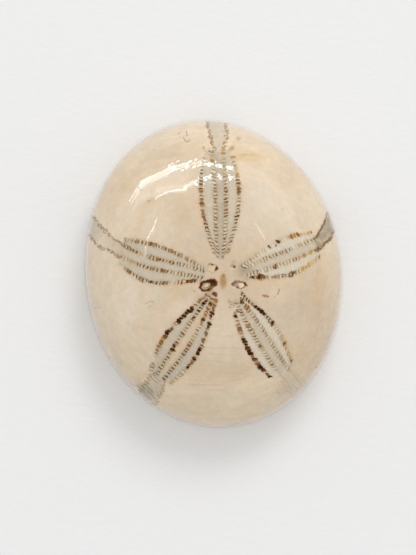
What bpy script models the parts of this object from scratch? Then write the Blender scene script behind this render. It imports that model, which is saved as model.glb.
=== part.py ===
"""Fossil sand dollar: a low domed sea urchin turned to stone, with five petals of paired pores.

Metres, +Z up. The fossil lies on its flat underside. +Y points to the animal's front, where its
longest petal runs, and +X to the right as it is seen from above. The origin is under the middle of
its footprint.
"""

import math
from dataclasses import dataclass

import bmesh
import bpy
from mathutils import Matrix, Vector

MM = 0.001

# Outer form
HEIGHT = 17.4 * MM
MARGIN_HEIGHT = 6.4 * MM
OUTLINE_RADIUS = 21.04 * MM
PLAN_POWER = 2.15
RISE_POWER = 2.0

# Underside, as shares of the way from the mouth to the margin
DISH_EDGE = 0.36
FLAT_EDGE = 0.66
UNDER_POWER = 2.1
DISH_DEPTH = 0.9 * MM

# Rings of the body mesh: 50 columns give ten to each of the five arms
COLUMNS = 50
RINGS = 28
DISH_RINGS = 6
DISH_RING_POWER = 1.6
FLAT_RINGS = 1

# Mouth
MOUTH_CENTRE = Vector((0.7, 1.9)) * MM
MOUTH_RADIUS = 1.9 * MM
MOUTH_LOBE = 0.3 * MM
MOUTH_WALL = 1.1 * MM
MOUTH_DEPTH = 2.4 * MM
LIP_BULGE = 0.35 * MM
LIP_DISTANCE = 3.3 * MM
LIP_WIDTH = 1.1 * MM
GROOVE_DEPTH = 0.3 * MM
GROOVE_DISTANCE = 4.4 * MM
GROOVE_WIDTH = 1.5 * MM

# Vent, an oval opening at the rear of the underside
VENT_CENTRE = Vector((0.7, -16.2)) * MM
VENT_LENGTH = 3.0 * MM
VENT_WIDTH = 2.1 * MM
VENT_DEPTH = 1.5 * MM
VENT_SIDES = 12

# Pores
PORE_DEPTH = 0.3 * MM
PORE_ALONG = 0.17 * MM
OUTER_PORE_ACROSS = 0.29 * MM
INNER_PORE_ACROSS = 0.21 * MM
CUTTER_RISE = 0.07 * MM
MOST_OF_GAP = 0.38

# Pits of the crown, and a chip in the rim
PIT_SIDES = 8
CHIP_CENTRE = Vector((-12.45, -17.35, 5.6)) * MM
CHIP_RADIUS = 0.75 * MM

STONE_COLOUR = (0.66, 0.54, 0.385, 1.0)
STONE_ROUGHNESS = 0.22


@dataclass(frozen=True)
class Wave:
    """One regular swelling of the outline.

    It has a count of repeats round it, a reach in millimetres and the direction of a peak.
    """

    count: int
    reach: float
    peak_deg: float


@dataclass(frozen=True)
class Row:
    """A row of pores, by how far left of its petal's axis it lies, in millimetres.

    Between root and tip it bows out, by lean more in its first half and by lean less in its second.
    """

    root: float
    tip: float
    bow: float
    lean: float
    outer: bool


@dataclass(frozen=True)
class Petal:
    """One petal: its axis from root to tip, its pores in a row, and its four rows from left to right."""

    root: tuple[float, float]
    tip: tuple[float, float]
    pores: int
    outer_slide: float
    rows: tuple[Row, Row, Row, Row]


@dataclass(frozen=True)
class Pit:
    """One oval pit of the crown, in plan."""

    centre: tuple[float, float]
    length: float
    width: float
    turn_deg: float
    depth: float


OUTLINE_WAVES = (
    Wave(1, 0.11, -152),
    Wave(2, 1.95, -81),
    Wave(3, 0.09, 1),
    Wave(4, 0.14, 16),
)


def four_rows(left_outer, left_inner, right_inner, right_outer):
    """The rows of a petal, each from its root, tip, bow and lean in millimetres."""
    return (
        Row(*left_outer, outer=True),
        Row(*left_inner, outer=False),
        Row(*right_inner, outer=False),
        Row(*right_outer, outer=True),
    )


PETALS = {
    "front": Petal(
        root=(1.02, 2.53),
        tip=(0.63, 18.2),
        pores=29,
        outer_slide=0.04,
        rows=four_rows(
            (0.58, 2.06, 1.28, 0.0),
            (0.48, 1.0, -0.15, 0.1),
            (-0.46, -0.81, -0.35, 0.0),
            (-0.7, -2.03, -1.54, 0.05),
        ),
    ),
    "front_right": Petal(
        root=(4.86, 0.35),
        tip=(15.38, 4.37),
        pores=22,
        outer_slide=-0.03,
        rows=four_rows(
            (0.94, 1.85, 0.98, -0.08),
            (0.6, 0.84, 0.0, 0.05),
            (-0.58, -0.73, -0.29, 0.04),
            (-0.97, -1.72, -1.4, 0.11),
        ),
    ),
    "rear_right": Petal(
        root=(3.8, -4.27),
        tip=(10.57, -14.79),
        pores=25,
        outer_slide=-0.07,
        rows=four_rows(
            (1.02, 1.56, 1.23, 0.04),
            (0.4, 0.76, 0.2, 0.06),
            (-0.45, -0.94, -0.2, -0.03),
            (-1.11, -2.08, -1.05, 0.04),
        ),
    ),
    "rear_left": Petal(
        root=(-0.52, -3.59),
        tip=(-7.92, -15.43),
        pores=27,
        outer_slide=0.0,
        rows=four_rows(
            (0.91, 1.82, 1.35, -0.14),
            (0.42, 0.59, 0.58, -0.02),
            (-0.22, -0.67, -0.22, -0.01),
            (-0.72, -1.74, -1.26, 0.22),
        ),
    ),
    "front_left": Petal(
        root=(-1.61, -0.06),
        tip=(-13.63, 3.21),
        pores=24,
        outer_slide=0.01,
        rows=four_rows(
            (0.92, 1.8, 1.72, -0.24),
            (0.53, 0.7, 0.54, -0.12),
            (-0.46, -0.95, 0.33, -0.16),
            (-0.82, -1.88, -0.8, 0.06),
        ),
    ),
}

CROWN_PITS = {
    "front_left": Pit(centre=(-0.2, 1.1), length=1.3, width=1.1, turn_deg=0, depth=0.4),
    "front_right": Pit(centre=(3.0, 1.0), length=0.9, width=0.7, turn_deg=0, depth=0.4),
    "rear_left": Pit(centre=(-0.7, -1.65), length=2.3, width=1.6, turn_deg=20, depth=0.8),
    "rear_right": Pit(centre=(3.85, -1.6), length=1.8, width=1.1, turn_deg=-5, depth=0.5),
}


def smooth_step(low, high, value):
    """0 up to low, 1 from high, and an even slope between."""
    share = min(max((value - low) / (high - low), 0.0), 1.0)
    return share * share * (3 - 2 * share)


def outline_radius(angle):
    """Distance from the middle to the margin, seen from above."""
    swelling = 0.0
    for wave in OUTLINE_WAVES:
        swelling += wave.reach * math.cos(wave.count * (angle - math.radians(wave.peak_deg)))
    return OUTLINE_RADIUS + swelling * MM


def dome_height(x, y):
    """Height of the smooth upper side over a place in plan."""
    share = min(math.hypot(x, y) / outline_radius(math.atan2(y, x)), 1.0)
    rise = (1 - share**PLAN_POWER) ** (1 / RISE_POWER)
    return MARGIN_HEIGHT + (HEIGHT - MARGIN_HEIGHT) * rise


def dome_normal(x, y):
    """Outward direction of the upper side over a place in plan."""
    step = 0.05 * MM
    slope_x = (dome_height(x + step, y) - dome_height(x - step, y)) / (2 * step)
    slope_y = (dome_height(x, y + step) - dome_height(x, y - step)) / (2 * step)
    return Vector((-slope_x, -slope_y, 1)).normalized()


def mouth_relief(x, y):
    """How far the dish, the mouth, its lips and its grooves lift the underside, in plan."""
    away = Vector((x, y)) - MOUTH_CENTRE
    distance = away.length
    arm = math.cos(5 * (math.atan2(away.y, away.x) - math.pi / 2))
    wall = MOUTH_RADIUS + MOUTH_LOBE * arm
    mouth = MOUTH_DEPTH * (1 - smooth_step(wall - MOUTH_WALL / 2, wall + MOUTH_WALL / 2, distance))
    lip = LIP_BULGE * math.exp(-(((distance - LIP_DISTANCE) / LIP_WIDTH) ** 2)) * max(-arm, 0.0)
    groove = GROOVE_DEPTH * math.exp(-(((distance - GROOVE_DISTANCE) / GROOVE_WIDTH) ** 2)) * max(arm, 0.0)
    return mouth + groove - lip


def upper_point(angle, tilt):
    """A point of the upper side. The tilt runs from 0 at the top to a right angle at the margin."""
    share = math.sin(tilt) ** (2 / PLAN_POWER)
    rise = max(math.cos(tilt), 0.0) ** (2 / RISE_POWER)
    radius = share * outline_radius(angle)
    height = MARGIN_HEIGHT + (HEIGHT - MARGIN_HEIGHT) * rise
    return Vector((radius * math.cos(angle), radius * math.sin(angle), height))


def under_share(ring):
    """Share of the way from the mouth to the margin at a ring of the underside, and the height there."""
    flat_from = DISH_RINGS
    round_from = DISH_RINGS + FLAT_RINGS
    if ring <= flat_from:
        return DISH_EDGE * (ring / flat_from) ** DISH_RING_POWER, 0.0
    if ring <= round_from:
        return DISH_EDGE + (FLAT_EDGE - DISH_EDGE) * (ring - flat_from) / FLAT_RINGS, 0.0
    turn = math.pi / 2 * (ring - round_from) / (RINGS / 2 - round_from)
    share = FLAT_EDGE + (1 - FLAT_EDGE) * math.sin(turn) ** (2 / UNDER_POWER)
    return share, MARGIN_HEIGHT * (1 - max(math.cos(turn), 0.0) ** (2 / UNDER_POWER))


def under_point(angle, tilt):
    """A point of the underside. The tilt runs from a right angle at the margin to a half turn at the mouth."""
    ring = (math.pi - tilt) / math.pi * RINGS
    share, height = under_share(ring)
    margin = Vector((math.cos(angle), math.sin(angle))) * outline_radius(angle)
    plan = MOUTH_CENTRE.lerp(margin, share)
    if share < DISH_EDGE:
        dish = DISH_DEPTH * (1 - smooth_step(0, DISH_EDGE, share))
        fade = 1 - smooth_step(0.8 * DISH_EDGE, DISH_EDGE, share)
        height += dish + fade * mouth_relief(plan.x, plan.y)
    return Vector((plan.x, plan.y, height))


def new_object(name, mesh, collection):
    """An object of a mesh, in a collection."""
    made = bpy.data.objects.new(name, mesh)
    collection.objects.link(made)
    return made


def mesh_of(name, bm):
    """A mesh from a bmesh, with its faces turned outwards."""
    bmesh.ops.recalc_face_normals(bm, faces=bm.faces)
    mesh = bpy.data.meshes.new(name)
    bm.to_mesh(mesh)
    bm.free()
    return mesh


def body_mesh():
    """The whole stone, from a sphere whose rings are moved to the dome, the margin and the underside."""
    bm = bmesh.new()
    bmesh.ops.create_uvsphere(bm, u_segments=COLUMNS, v_segments=RINGS, radius=1)
    for vert in bm.verts:
        angle = math.atan2(vert.co.y, vert.co.x)
        tilt = math.acos(max(-1.0, min(1.0, vert.co.z)))
        if tilt <= math.pi / 2 + math.pi / RINGS / 4:
            vert.co = upper_point(angle, min(tilt, math.pi / 2))
        else:
            vert.co = under_point(angle, tilt)
    bmesh.ops.triangulate(bm, faces=bm.faces)
    return mesh_of("sand_dollar", bm)


def row_offset(row, along):
    """Distance of a row to the left of its petal's axis, in millimetres."""
    turn = math.pi * min(max(along, 0.0), 1.0)
    straight = row.root + (row.tip - row.root) * along
    return straight + row.bow * math.sin(turn) + row.lean * math.sin(2 * turn)


def row_place(petal, row, along):
    """Place in plan of a point of a row, with along from 0 at the petal's root to 1 at its tip."""
    root = Vector(petal.root)
    axis = Vector(petal.tip) - root
    left = Vector((-axis.y, axis.x)).normalized()
    slid = along + (petal.outer_slide if row.outer else 0.0)
    return (root + axis * slid + left * row_offset(row, slid)) * MM


def pore_width(petal, row, along):
    """Half the width of a pore across its row, less where the two rows of a band run close together."""
    place = petal.rows.index(row)
    partner = petal.rows[(1, 0, 3, 2)[place]]
    gap = abs(row_offset(row, along) - row_offset(partner, along)) * MM
    return min(OUTER_PORE_ACROSS if row.outer else INNER_PORE_ACROSS, MOST_OF_GAP * gap)


def pit_frame(x, y, direction, lift):
    """Axes of a cutter on the dome: X along a direction in plan, Z out of the stone, raised by lift."""
    normal = dome_normal(x, y)
    across = normal.cross(Vector((direction.x, direction.y, 0))).normalized()
    along = across.cross(normal)
    turn = Matrix((along, across, normal)).transposed().to_4x4()
    place = Vector((x, y, dome_height(x, y))) + normal * lift
    return Matrix.Translation(place) @ turn


def add_pit(bm, frame, along, across, depth, sides):
    """A pointed cutter, its tip at a depth below the surface and its mouth there along by across."""
    whole = depth + CUTTER_RISE
    flare = whole / depth
    corner = math.cos(math.pi / sides)
    shape = Matrix.Diagonal((along * flare / corner, across * flare / corner, 1, 1))
    turn = Matrix.Rotation(math.pi / sides, 4, "Z")
    bmesh.ops.create_cone(
        bm,
        cap_ends=True,
        segments=sides,
        radius1=0,
        radius2=1,
        depth=whole,
        matrix=frame @ shape @ turn,
    )


def pore_cutters():
    """A pointed four-sided cutter for each pore of the petals."""
    bm = bmesh.new()
    middle = (CUTTER_RISE - PORE_DEPTH) / 2
    for petal in PETALS.values():
        step = 1 / petal.pores
        for row in petal.rows:
            for index in range(petal.pores):
                along = (index + 0.5) * step
                place = row_place(petal, row, along)
                direction = row_place(petal, row, along + step / 2) - row_place(petal, row, along - step / 2)
                frame = pit_frame(place.x, place.y, direction, middle)
                add_pit(bm, frame, PORE_ALONG, pore_width(petal, row, along), PORE_DEPTH, 4)
    return mesh_of("pore_cutters", bm)


def crown_cutters():
    """The four pits round the crown."""
    bm = bmesh.new()
    for pit in CROWN_PITS.values():
        turn = math.radians(pit.turn_deg)
        direction = Vector((math.cos(turn), math.sin(turn)))
        x, y = (value * MM for value in pit.centre)
        depth = pit.depth * MM
        frame = pit_frame(x, y, direction, (CUTTER_RISE - depth) / 2)
        add_pit(bm, frame, pit.length * MM / 2, pit.width * MM / 2, depth, PIT_SIDES)
    return mesh_of("crown_cutters", bm)


def vent_cutter():
    """The oval vent, narrowing inwards from the underside."""
    bm = bmesh.new()
    below = 1.0 * MM
    above = VENT_DEPTH + 0.6 * MM
    bmesh.ops.create_cone(
        bm,
        cap_ends=True,
        segments=VENT_SIDES,
        radius1=1,
        radius2=0.55,
        depth=below + above,
        matrix=Matrix.Translation((*VENT_CENTRE, (above - below) / 2))
        @ Matrix.Diagonal((VENT_WIDTH / 2, VENT_LENGTH / 2, 1, 1)),
    )
    return mesh_of("vent_cutter", bm)


def chip_cutter():
    """The small chip in the rim where the rear left arm reaches it."""
    bm = bmesh.new()
    place = Matrix.Translation(CHIP_CENTRE)
    bmesh.ops.create_icosphere(bm, subdivisions=1, radius=CHIP_RADIUS, matrix=place)
    return mesh_of("chip_cutter", bm)


def stone_material():
    """Pale cream calcite with a polish."""
    material = bpy.data.materials.new("fossil_calcite")
    material.use_nodes = True
    shader = material.node_tree.nodes["Principled BSDF"]
    shader.inputs["Base Color"].default_value = STONE_COLOUR
    shader.inputs["Roughness"].default_value = STONE_ROUGHNESS
    shader.inputs["Metallic"].default_value = 0.0
    material.diffuse_color = STONE_COLOUR
    return material


def cut(body, mesh, collection):
    """Takes a cutter away from the body, and keeps the cutter out of renders."""
    cutter = new_object(mesh.name, mesh, collection)
    cutter.hide_render = True
    cutter.display_type = "WIRE"
    modifier = body.modifiers.new(mesh.name, "BOOLEAN")
    modifier.operation = "DIFFERENCE"
    modifier.solver = "EXACT"
    modifier.object = cutter


def new_collection(name):
    """A collection linked to the scene."""
    made = bpy.data.collections.new(name)
    bpy.context.scene.collection.children.link(made)
    return made


def main():
    """Clears the scene and builds the fossil."""
    for old in list(bpy.data.objects):
        bpy.data.objects.remove(old, do_unlink=True)
    fossil = new_collection("fossil_sand_dollar")
    cutters = new_collection("cutters")
    mesh = body_mesh()
    mesh.materials.append(stone_material())
    mesh.shade_smooth()
    mesh.set_sharp_from_angle(angle=math.radians(40))
    body = new_object("sand_dollar", mesh, fossil)
    for cutter_mesh in (pore_cutters(), crown_cutters(), vent_cutter(), chip_cutter()):
        cut(body, cutter_mesh, cutters)


main()
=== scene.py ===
"""Studio dressing of the fossil sand dollar: polished stone, petals of stained pores, and a pale table.

The stone is one piece. Its smooth form, its relief and its markings are worked out from a few named sizes,
in millimetres, and written to the mesh in metres. +Y points to the animal's front and +Z up.
"""

import logging
import math
from collections.abc import Iterator
from dataclasses import dataclass
from enum import Enum

import bmesh
import bpy
import numpy as np
from mathutils import Matrix, Vector


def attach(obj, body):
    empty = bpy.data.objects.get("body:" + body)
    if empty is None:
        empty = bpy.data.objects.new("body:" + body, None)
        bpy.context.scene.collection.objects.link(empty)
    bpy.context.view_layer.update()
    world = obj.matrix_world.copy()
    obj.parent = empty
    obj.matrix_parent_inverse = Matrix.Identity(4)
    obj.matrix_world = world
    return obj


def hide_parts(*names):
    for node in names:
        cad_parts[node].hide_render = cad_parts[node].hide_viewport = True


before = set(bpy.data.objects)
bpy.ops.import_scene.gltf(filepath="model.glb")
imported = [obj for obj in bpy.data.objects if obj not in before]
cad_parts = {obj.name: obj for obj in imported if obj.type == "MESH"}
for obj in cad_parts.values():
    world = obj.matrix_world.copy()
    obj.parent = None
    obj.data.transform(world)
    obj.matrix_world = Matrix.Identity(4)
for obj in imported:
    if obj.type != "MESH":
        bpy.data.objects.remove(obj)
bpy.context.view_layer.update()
LOG = logging.getLogger("fossil_sand_dollar")

MM = 0.001
PORE_PITCH = 0.54
FAR = 9.0
QUARTER = math.pi / 2
FULL_TURN = 2 * math.pi
Array = np.ndarray
Socket = bpy.types.NodeSocket
Inputs = dict[str | int, object]
Pair = tuple[float, float]
Triple = tuple[float, float, float]


def smooth(low: float, high: float, value: Array) -> Array:
    """Returns 0 up to low, 1 from high, and an even slope between.

    Args:
        low: Value at which the step starts. It may be above high, for a step down.
        high: Value at which the step ends.
        value: The values to pass through the step.

    Returns:
        One share from 0 to 1 for each value.
    """
    share = np.clip((value - low) / (high - low), 0.0, 1.0)
    return share * share * (3.0 - 2.0 * share)


def bell(value: Array, width: float) -> Array:
    """Returns a bell curve that is 1 at 0 and falls off over a width."""
    return np.exp(-((value / width) ** 2))


# Sizes and places of the stone's form


@dataclass(frozen=True)
class Wave:
    """One regular swelling of the outline.

    Args:
        count: How often it repeats round the outline.
        reach: How far it moves the outline, in millimetres.
        peak_deg: Direction of one of its peaks.
    """

    count: int
    reach: float
    peak_deg: float


@dataclass(frozen=True)
class StoneForm:
    """Smooth outer form: a domed upper side, a rounded margin and a ground underside with a dish."""

    height: float = 17.4
    margin_height: float = 6.4
    outline: float = 21.04
    waves: tuple[Wave, ...] = (
        Wave(1, 0.11, -152),
        Wave(2, 1.95, -81),
        Wave(3, 0.09, 1),
        Wave(4, 0.14, 16),
    )
    plan_power: float = 2.15
    under_power: float = 2.1
    dish_edge: float = 0.36
    flat_edge: float = 0.66
    dish_depth: float = 0.9
    dish_turn: float = 0.4
    flat_turn: float = 0.6
    mouth: Pair = (0.7, 1.9)

    def margin(self, angle: Array) -> Array:
        """Returns the distance from the middle to the margin in each direction."""
        swelling = sum(w.reach * np.cos(w.count * (angle - math.radians(w.peak_deg))) for w in self.waves)
        return self.outline + swelling

    def under_share(self, turn: Array) -> Array:
        """Returns the share of the way from the mouth to the margin, for a turn from 0 to 1."""
        dish = self.dish_edge * (turn / self.dish_turn) ** 1.2
        flat_share = (turn - self.dish_turn) / (self.flat_turn - self.dish_turn)
        flat = self.dish_edge + (self.flat_edge - self.dish_edge) * flat_share
        bend = np.clip((turn - self.flat_turn) / (1 - self.flat_turn), 0, 1) * QUARTER
        curved = self.flat_edge + (1 - self.flat_edge) * np.sin(bend) ** (2 / self.under_power)
        return np.where(turn < self.dish_turn, dish, np.where(turn < self.flat_turn, flat, curved))

    def under_height(self, turn: Array, share: Array) -> Array:
        """Returns the height of the underside without its mouth."""
        bend = np.clip((turn - self.flat_turn) / (1 - self.flat_turn), 0, 1) * QUARTER
        rounding = self.margin_height * (1 - np.clip(np.cos(bend), 0, 1) ** (2 / self.under_power))
        return rounding + self.dish_depth * (1 - smooth(0, self.dish_edge, share))

    def survey(self, ways: Array) -> "Survey":
        """Places directions from the middle of a unit sphere on the smooth form.

        Args:
            ways: Unit directions, one row each.

        Returns:
            The survey of those places.
        """
        angle = np.arctan2(ways[:, 1], ways[:, 0])
        tilt = np.arccos(np.clip(ways[:, 2], -1, 1))
        margin = self.margin(angle)
        aim = np.stack([np.cos(angle), np.sin(angle)], axis=1)
        share = np.sin(np.minimum(tilt, QUARTER)) ** (2 / self.plan_power)
        top = aim * (share * margin)[:, None]
        dome = self.margin_height + (self.height - self.margin_height) * np.clip(np.cos(tilt), 0, 1)
        turn = np.clip((math.pi - tilt) / QUARTER, 0, 1)
        under = self.under_share(turn)
        mouth = np.array(self.mouth)
        below = mouth + (aim * margin[:, None] - mouth) * under[:, None]
        is_upper = tilt <= QUARTER
        plan = np.where(is_upper[:, None], top, below)
        height = np.where(is_upper, dome, self.under_height(turn, under))
        return Survey(plan, height, angle, np.where(is_upper, share, 2 - under), margin, is_upper)


@dataclass
class Survey:
    """Places on the stone, one entry each.

    Args:
        plan: Places seen from above, in millimetres.
        height: Heights in millimetres.
        angle: Directions from the middle, in radians.
        travel: Way from the crown (0) over the margin (1) to the mouth (2).
        margin: Distance from the middle to the margin in each direction.
        is_upper: Whether a place is on the upper side.
    """

    plan: Array
    height: Array
    angle: Array
    travel: Array
    margin: Array
    is_upper: Array

    def points(self) -> Array:
        """Returns the places as points in millimetres."""
        return np.column_stack([self.plan, self.height])


@dataclass(frozen=True)
class Oval:
    """An oval in plan.

    Args:
        centre: Its middle, in millimetres.
        length: Its whole length along its own axis.
        width: Its whole width.
        turn_deg: Direction of its axis.
    """

    centre: Pair
    length: float
    width: float
    turn_deg: float = 0.0

    def radius(self, plan: Array) -> Array:
        """Returns how far out places lie, with 1 on the oval's edge."""
        turn = math.radians(self.turn_deg)
        away = plan - np.array(self.centre)
        along = away[:, 0] * math.cos(turn) + away[:, 1] * math.sin(turn)
        across = away[:, 1] * math.cos(turn) - away[:, 0] * math.sin(turn)
        return np.hypot(2 * along / self.length, 2 * across / self.width)

    def gap(self, plan: Array) -> Array:
        """Returns about how far places lie from the edge, in millimetres."""
        return np.abs(self.radius(plan) - 1) * min(self.length, self.width) / 2


# Stains and where they lie


@dataclass(frozen=True)
class Pigment:
    """A mineral stain in and round a pore; its colour also tints plates, stains, and patches of painted light
    and shade.

    Args:
        colour: Its linear colour.
        bars: How strongly it marks the walls between pores.
        fill: How strongly it fills the pore itself.
    """

    colour: Triple
    bars: float
    fill: float

    def values(self) -> tuple[float, ...]:
        """Returns the five numbers that a point of the surface keeps."""
        return (*self.colour, self.bars, self.fill)


class Tone(Enum):
    """The stains that the rows of pores and the patches take, and the tints of the patches of painted light
    and shade.
    """

    # In and round the pores
    NONE = Pigment((0.42, 0.36, 0.27), 0.0, 0.0)
    CREAM = Pigment((0.17, 0.098, 0.035), 0.9, 0.0)
    GREY = Pigment((0.25, 0.18, 0.10), 0.8, 0.0)
    SLATE = Pigment((0.13, 0.09, 0.055), 0.9, 0.06)
    TAN = Pigment((0.30, 0.19, 0.075), 0.8, 0.2)
    OLIVE = Pigment((0.16, 0.095, 0.03), 0.95, 0.12)
    BROWN = Pigment((0.12, 0.047, 0.013), 1.0, 0.22)
    COPPER = Pigment((0.15, 0.055, 0.008), 1.0, 0.1)
    RUST = Pigment((0.15, 0.052, 0.01), 1.0, 0.42)
    AMBER = Pigment((0.43, 0.24, 0.055), 0.3, 0.8)
    RING = Pigment((0.05, 0.02, 0.005), 1.0, 0.0)
    DARK = Pigment((0.075, 0.022, 0.005), 0.5, 1.1)
    BLACK = Pigment((0.035, 0.010, 0.002), 0.55, 1.6)
    # Plates between the rows, and of the bands
    DUSK = Pigment((0.44, 0.37, 0.27), 0.0, 0.0)
    HAZE = Pigment((0.53, 0.46, 0.35), 0.0, 0.0)
    MILK = Pigment((0.62, 0.55, 0.43), 0.0, 0.0)
    UMBER = Pigment((0.3, 0.24, 0.155), 0.0, 0.0)
    # Clouds and stains in the stone; PALE, BUFF and BLUSH also serve as painted light and shade
    PALE = Pigment((0.74, 0.62, 0.465), 0.0, 0.0)
    FLESH = Pigment((0.61, 0.485, 0.33), 0.0, 0.0)
    SAND = Pigment((0.62, 0.475, 0.31), 0.0, 0.0)
    BUFF = Pigment((0.53, 0.40, 0.26), 0.0, 0.0)
    ROSE = Pigment((0.64, 0.535, 0.415), 0.0, 0.0)
    BLUSH = Pigment((0.70, 0.595, 0.48), 0.0, 0.0)
    CLOUD = Pigment((0.65, 0.55, 0.41), 0.0, 0.0)
    IVORY = Pigment((0.72, 0.56, 0.37), 0.0, 0.0)
    ASH = Pigment((0.48, 0.415, 0.32), 0.0, 0.0)
    ORANGE = Pigment((0.64, 0.44, 0.21), 0.0, 0.0)
    HONEY = Pigment((0.43, 0.235, 0.08), 0.0, 0.0)
    IRON = Pigment((0.13, 0.042, 0.005), 0.0, 0.0)


@dataclass(frozen=True)
class PoreRow:
    """A row of pores of one petal.

    Args:
        root: How far left of the petal's axis it starts, in millimetres.
        tip: How far left it ends.
        bow: How far it bows out between.
        lean: How much more it bows in its first half than in its second.
        stains: The tones of its pores from the root, with a number before a tone that several pores share.
    """

    root: float
    tip: float
    bow: float
    lean: float
    stains: str

    def offset(self, along: Array) -> Array:
        """Returns how far left of the axis the row lies."""
        turn = math.pi * np.clip(along, 0, 1)
        straight = self.root + (self.tip - self.root) * along
        return straight + self.bow * np.sin(turn) + self.lean * np.sin(2 * turn)

    def runs(self) -> tuple[tuple[int, Tone], ...]:
        """Returns the row's stains from the root, each with its number of pores."""
        parts = (run.split() for run in self.stains.split(", "))
        return tuple((int(part[0]) if part[1:] else 1, Tone[part[-1].upper()]) for part in parts)

    def stain(self, pore: Array) -> Array:
        """Returns the pigment values at places counted in pores from the root."""
        runs = self.runs()
        ends = np.cumsum([count for count, _ in runs])
        table = np.array([tone.value.values() for _, tone in runs])
        last = len(runs) - 1
        shifts = (-0.3, 0.0, 0.3)
        return sum(table[np.minimum(np.searchsorted(ends, pore + s, "right"), last)] for s in shifts) / 3


@dataclass
class Marks:
    """What the petals leave at each place.

    Args:
        reach: Distance to the nearest row of pores, in millimetres.
        phase: Place along that row, counted in pores.
        row: Number of that row.
        stain: Its pigment values there.
        plate: Colour of the plates there.
        grey: Share of the pale grey plates of the petals.
        pair: Share of the zone between the two rows of a pair.
    """

    reach: Array
    phase: Array
    row: Array
    stain: Array
    plate: Array
    grey: Array
    pair: Array

    def take(self, other: "Marks") -> None:
        """Keeps at each place the marks of whichever petal is nearer."""
        nearer = other.reach < self.reach
        for name in ("reach", "phase", "row"):
            setattr(self, name, np.where(nearer, getattr(other, name), getattr(self, name)))
        self.stain = np.where(nearer[:, None], other.stain, self.stain)
        self.plate = np.where((other.grey > self.grey)[:, None], other.plate, self.plate)
        self.grey = np.maximum(self.grey, other.grey)
        self.pair = np.maximum(self.pair, other.pair)


@dataclass(frozen=True)
class Petal:
    """One petal, with its four rows of pores from left to right as seen from the crown.

    Args:
        root: Where its axis starts, in millimetres.
        tip: Where its axis ends.
        pores: Number of pores in a row.
        slide: How far the outer rows lie further out than the inner ones, as a share of the axis.
        strip: Tone of the plates between the two inner rows.
        pair: Tone of the plates between the rows of a pair.
        rows: Its four rows.
    """

    root: Pair
    tip: Pair
    pores: int
    slide: float
    strip: Tone
    pair: Tone
    rows: tuple[PoreRow, PoreRow, PoreRow, PoreRow]

    def frame(self, plan: Array) -> tuple[Array, Array, float]:
        """Returns the share along the axis, the distance left of it, and the axis's length."""
        root = np.array(self.root)
        axis = np.array(self.tip) - root
        length = float(np.hypot(*axis))
        away = plan - root
        along = away @ axis / length**2
        left = away @ np.array([-axis[1], axis[0]]) / length
        return along, left, length

    def marks(self, plan: Array, number: int) -> Marks:
        """Returns what this petal leaves at each place.

        Args:
            plan: Places seen from above.
            number: The petal's number, which keeps its rows apart from those of the others.
        """
        along, left, length = self.frame(plan)
        offsets = np.stack([row.offset(along) for row in self.rows])
        outer = np.where(left > 0, offsets[0], -offsets[3])
        inner = np.where(left > 0, offsets[1], -offsets[2])
        spread = np.clip((np.abs(left) - inner) / np.maximum(outer - inner, 0.1), 0, 1)
        phase = self.pores * (along - self.slide * spread)
        beyond = np.maximum(np.maximum(-phase, phase - self.pores), 0) * length / self.pores
        gaps = np.hypot(np.abs(offsets - left), beyond)
        row = np.argmin(gaps, axis=0)
        reach = np.take_along_axis(gaps, row[None], axis=0)[0]
        stains = np.stack([r.stain(phase) for r in self.rows])
        stain = np.take_along_axis(stains, row[None, :, None], axis=0)[0]
        ends = smooth(-1.2, 0.2, phase) * smooth(self.pores + 0.8, self.pores - 0.6, phase)
        grey = smooth(-0.15, 0.3, outer - np.abs(left)) * ends
        between = smooth(-0.15, 0.15, np.abs(left) - inner)[:, None]
        plate = np.array(self.pair.value.colour) * between + np.array(self.strip.value.colour) * (1 - between)
        pair = smooth(0.12, 0.3, outer - np.abs(left)) * smooth(0.12, 0.3, np.abs(left) - inner) * ends
        return Marks(reach, phase, row + 4.0 * number, stain, plate, grey, pair)


@dataclass(frozen=True)
class Station:
    """A place along a band: its travel from the crown, its direction and half its width."""

    travel: float
    angle_deg: float
    half_width: float


@dataclass(frozen=True)
class Band:
    """The grey plates that run on from a petal's tip over the margin to the mouth.

    Args:
        stations: Its places up to the margin; past the margin it runs straight to the mouth.
        tone: Its colour.
        grey: Strength of its colour.
        line: Strength of its wavy edges.
        under: Travel and half width of its places past the margin.
        start_fade: Travel on either side of its start over which it appears.
        end_fade: Travel over which it fades away below.
    """

    stations: tuple[Station, ...]
    tone: Tone
    grey: float
    line: float
    under: tuple[Pair, ...] = ((1.2, 1.3), (1.45, 0.9), (2.0, 0.35))
    start_fade: float = 0.015
    end_fade: Pair = (1.66, 1.5)

    def edges(self, survey: Survey) -> tuple[Array, Array]:
        """Returns the distance outside the band's edge and the share of its strength at each place."""
        last = self.stations[-1]
        stations = self.stations + tuple(Station(way, last.angle_deg, half) for way, half in self.under)
        travel = [station.travel for station in stations]
        centre = np.radians(np.interp(survey.travel, travel, [station.angle_deg for station in stations]))
        half_width = np.interp(survey.travel, travel, [station.half_width for station in stations])
        swing = np.angle(np.exp(1j * (survey.angle - centre)))
        radius = survey.margin * np.where(survey.is_upper, survey.travel, 2 - survey.travel)
        outside = np.where(np.abs(swing) < QUARTER, np.abs(radius * np.sin(swing)), radius) - half_width
        start = travel[0]
        shown = smooth(start - self.start_fade, start + self.start_fade, survey.travel)
        return outside, shown * smooth(*self.end_fade, survey.travel)


@dataclass(frozen=True)
class StainAndLightPatch:
    """A stain in the stone, oval in plan and soft at its edge. Some of these patches are painted light and
    shade, not stains.

    Args:
        oval: Where it lies.
        tone: Its stain, or its tint of painted light and shade.
        strength: How much of the stone it covers.
        edge: How soft its edge is, as a share of its radius.
    """

    oval: Oval
    tone: Tone
    strength: float
    edge: float = 0.5

    def cover(self, plan: Array) -> Array:
        """Returns how much of each place it covers."""
        return self.strength * smooth(1 + self.edge / 2, 1 - self.edge / 2, self.oval.radius(plan))


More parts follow.
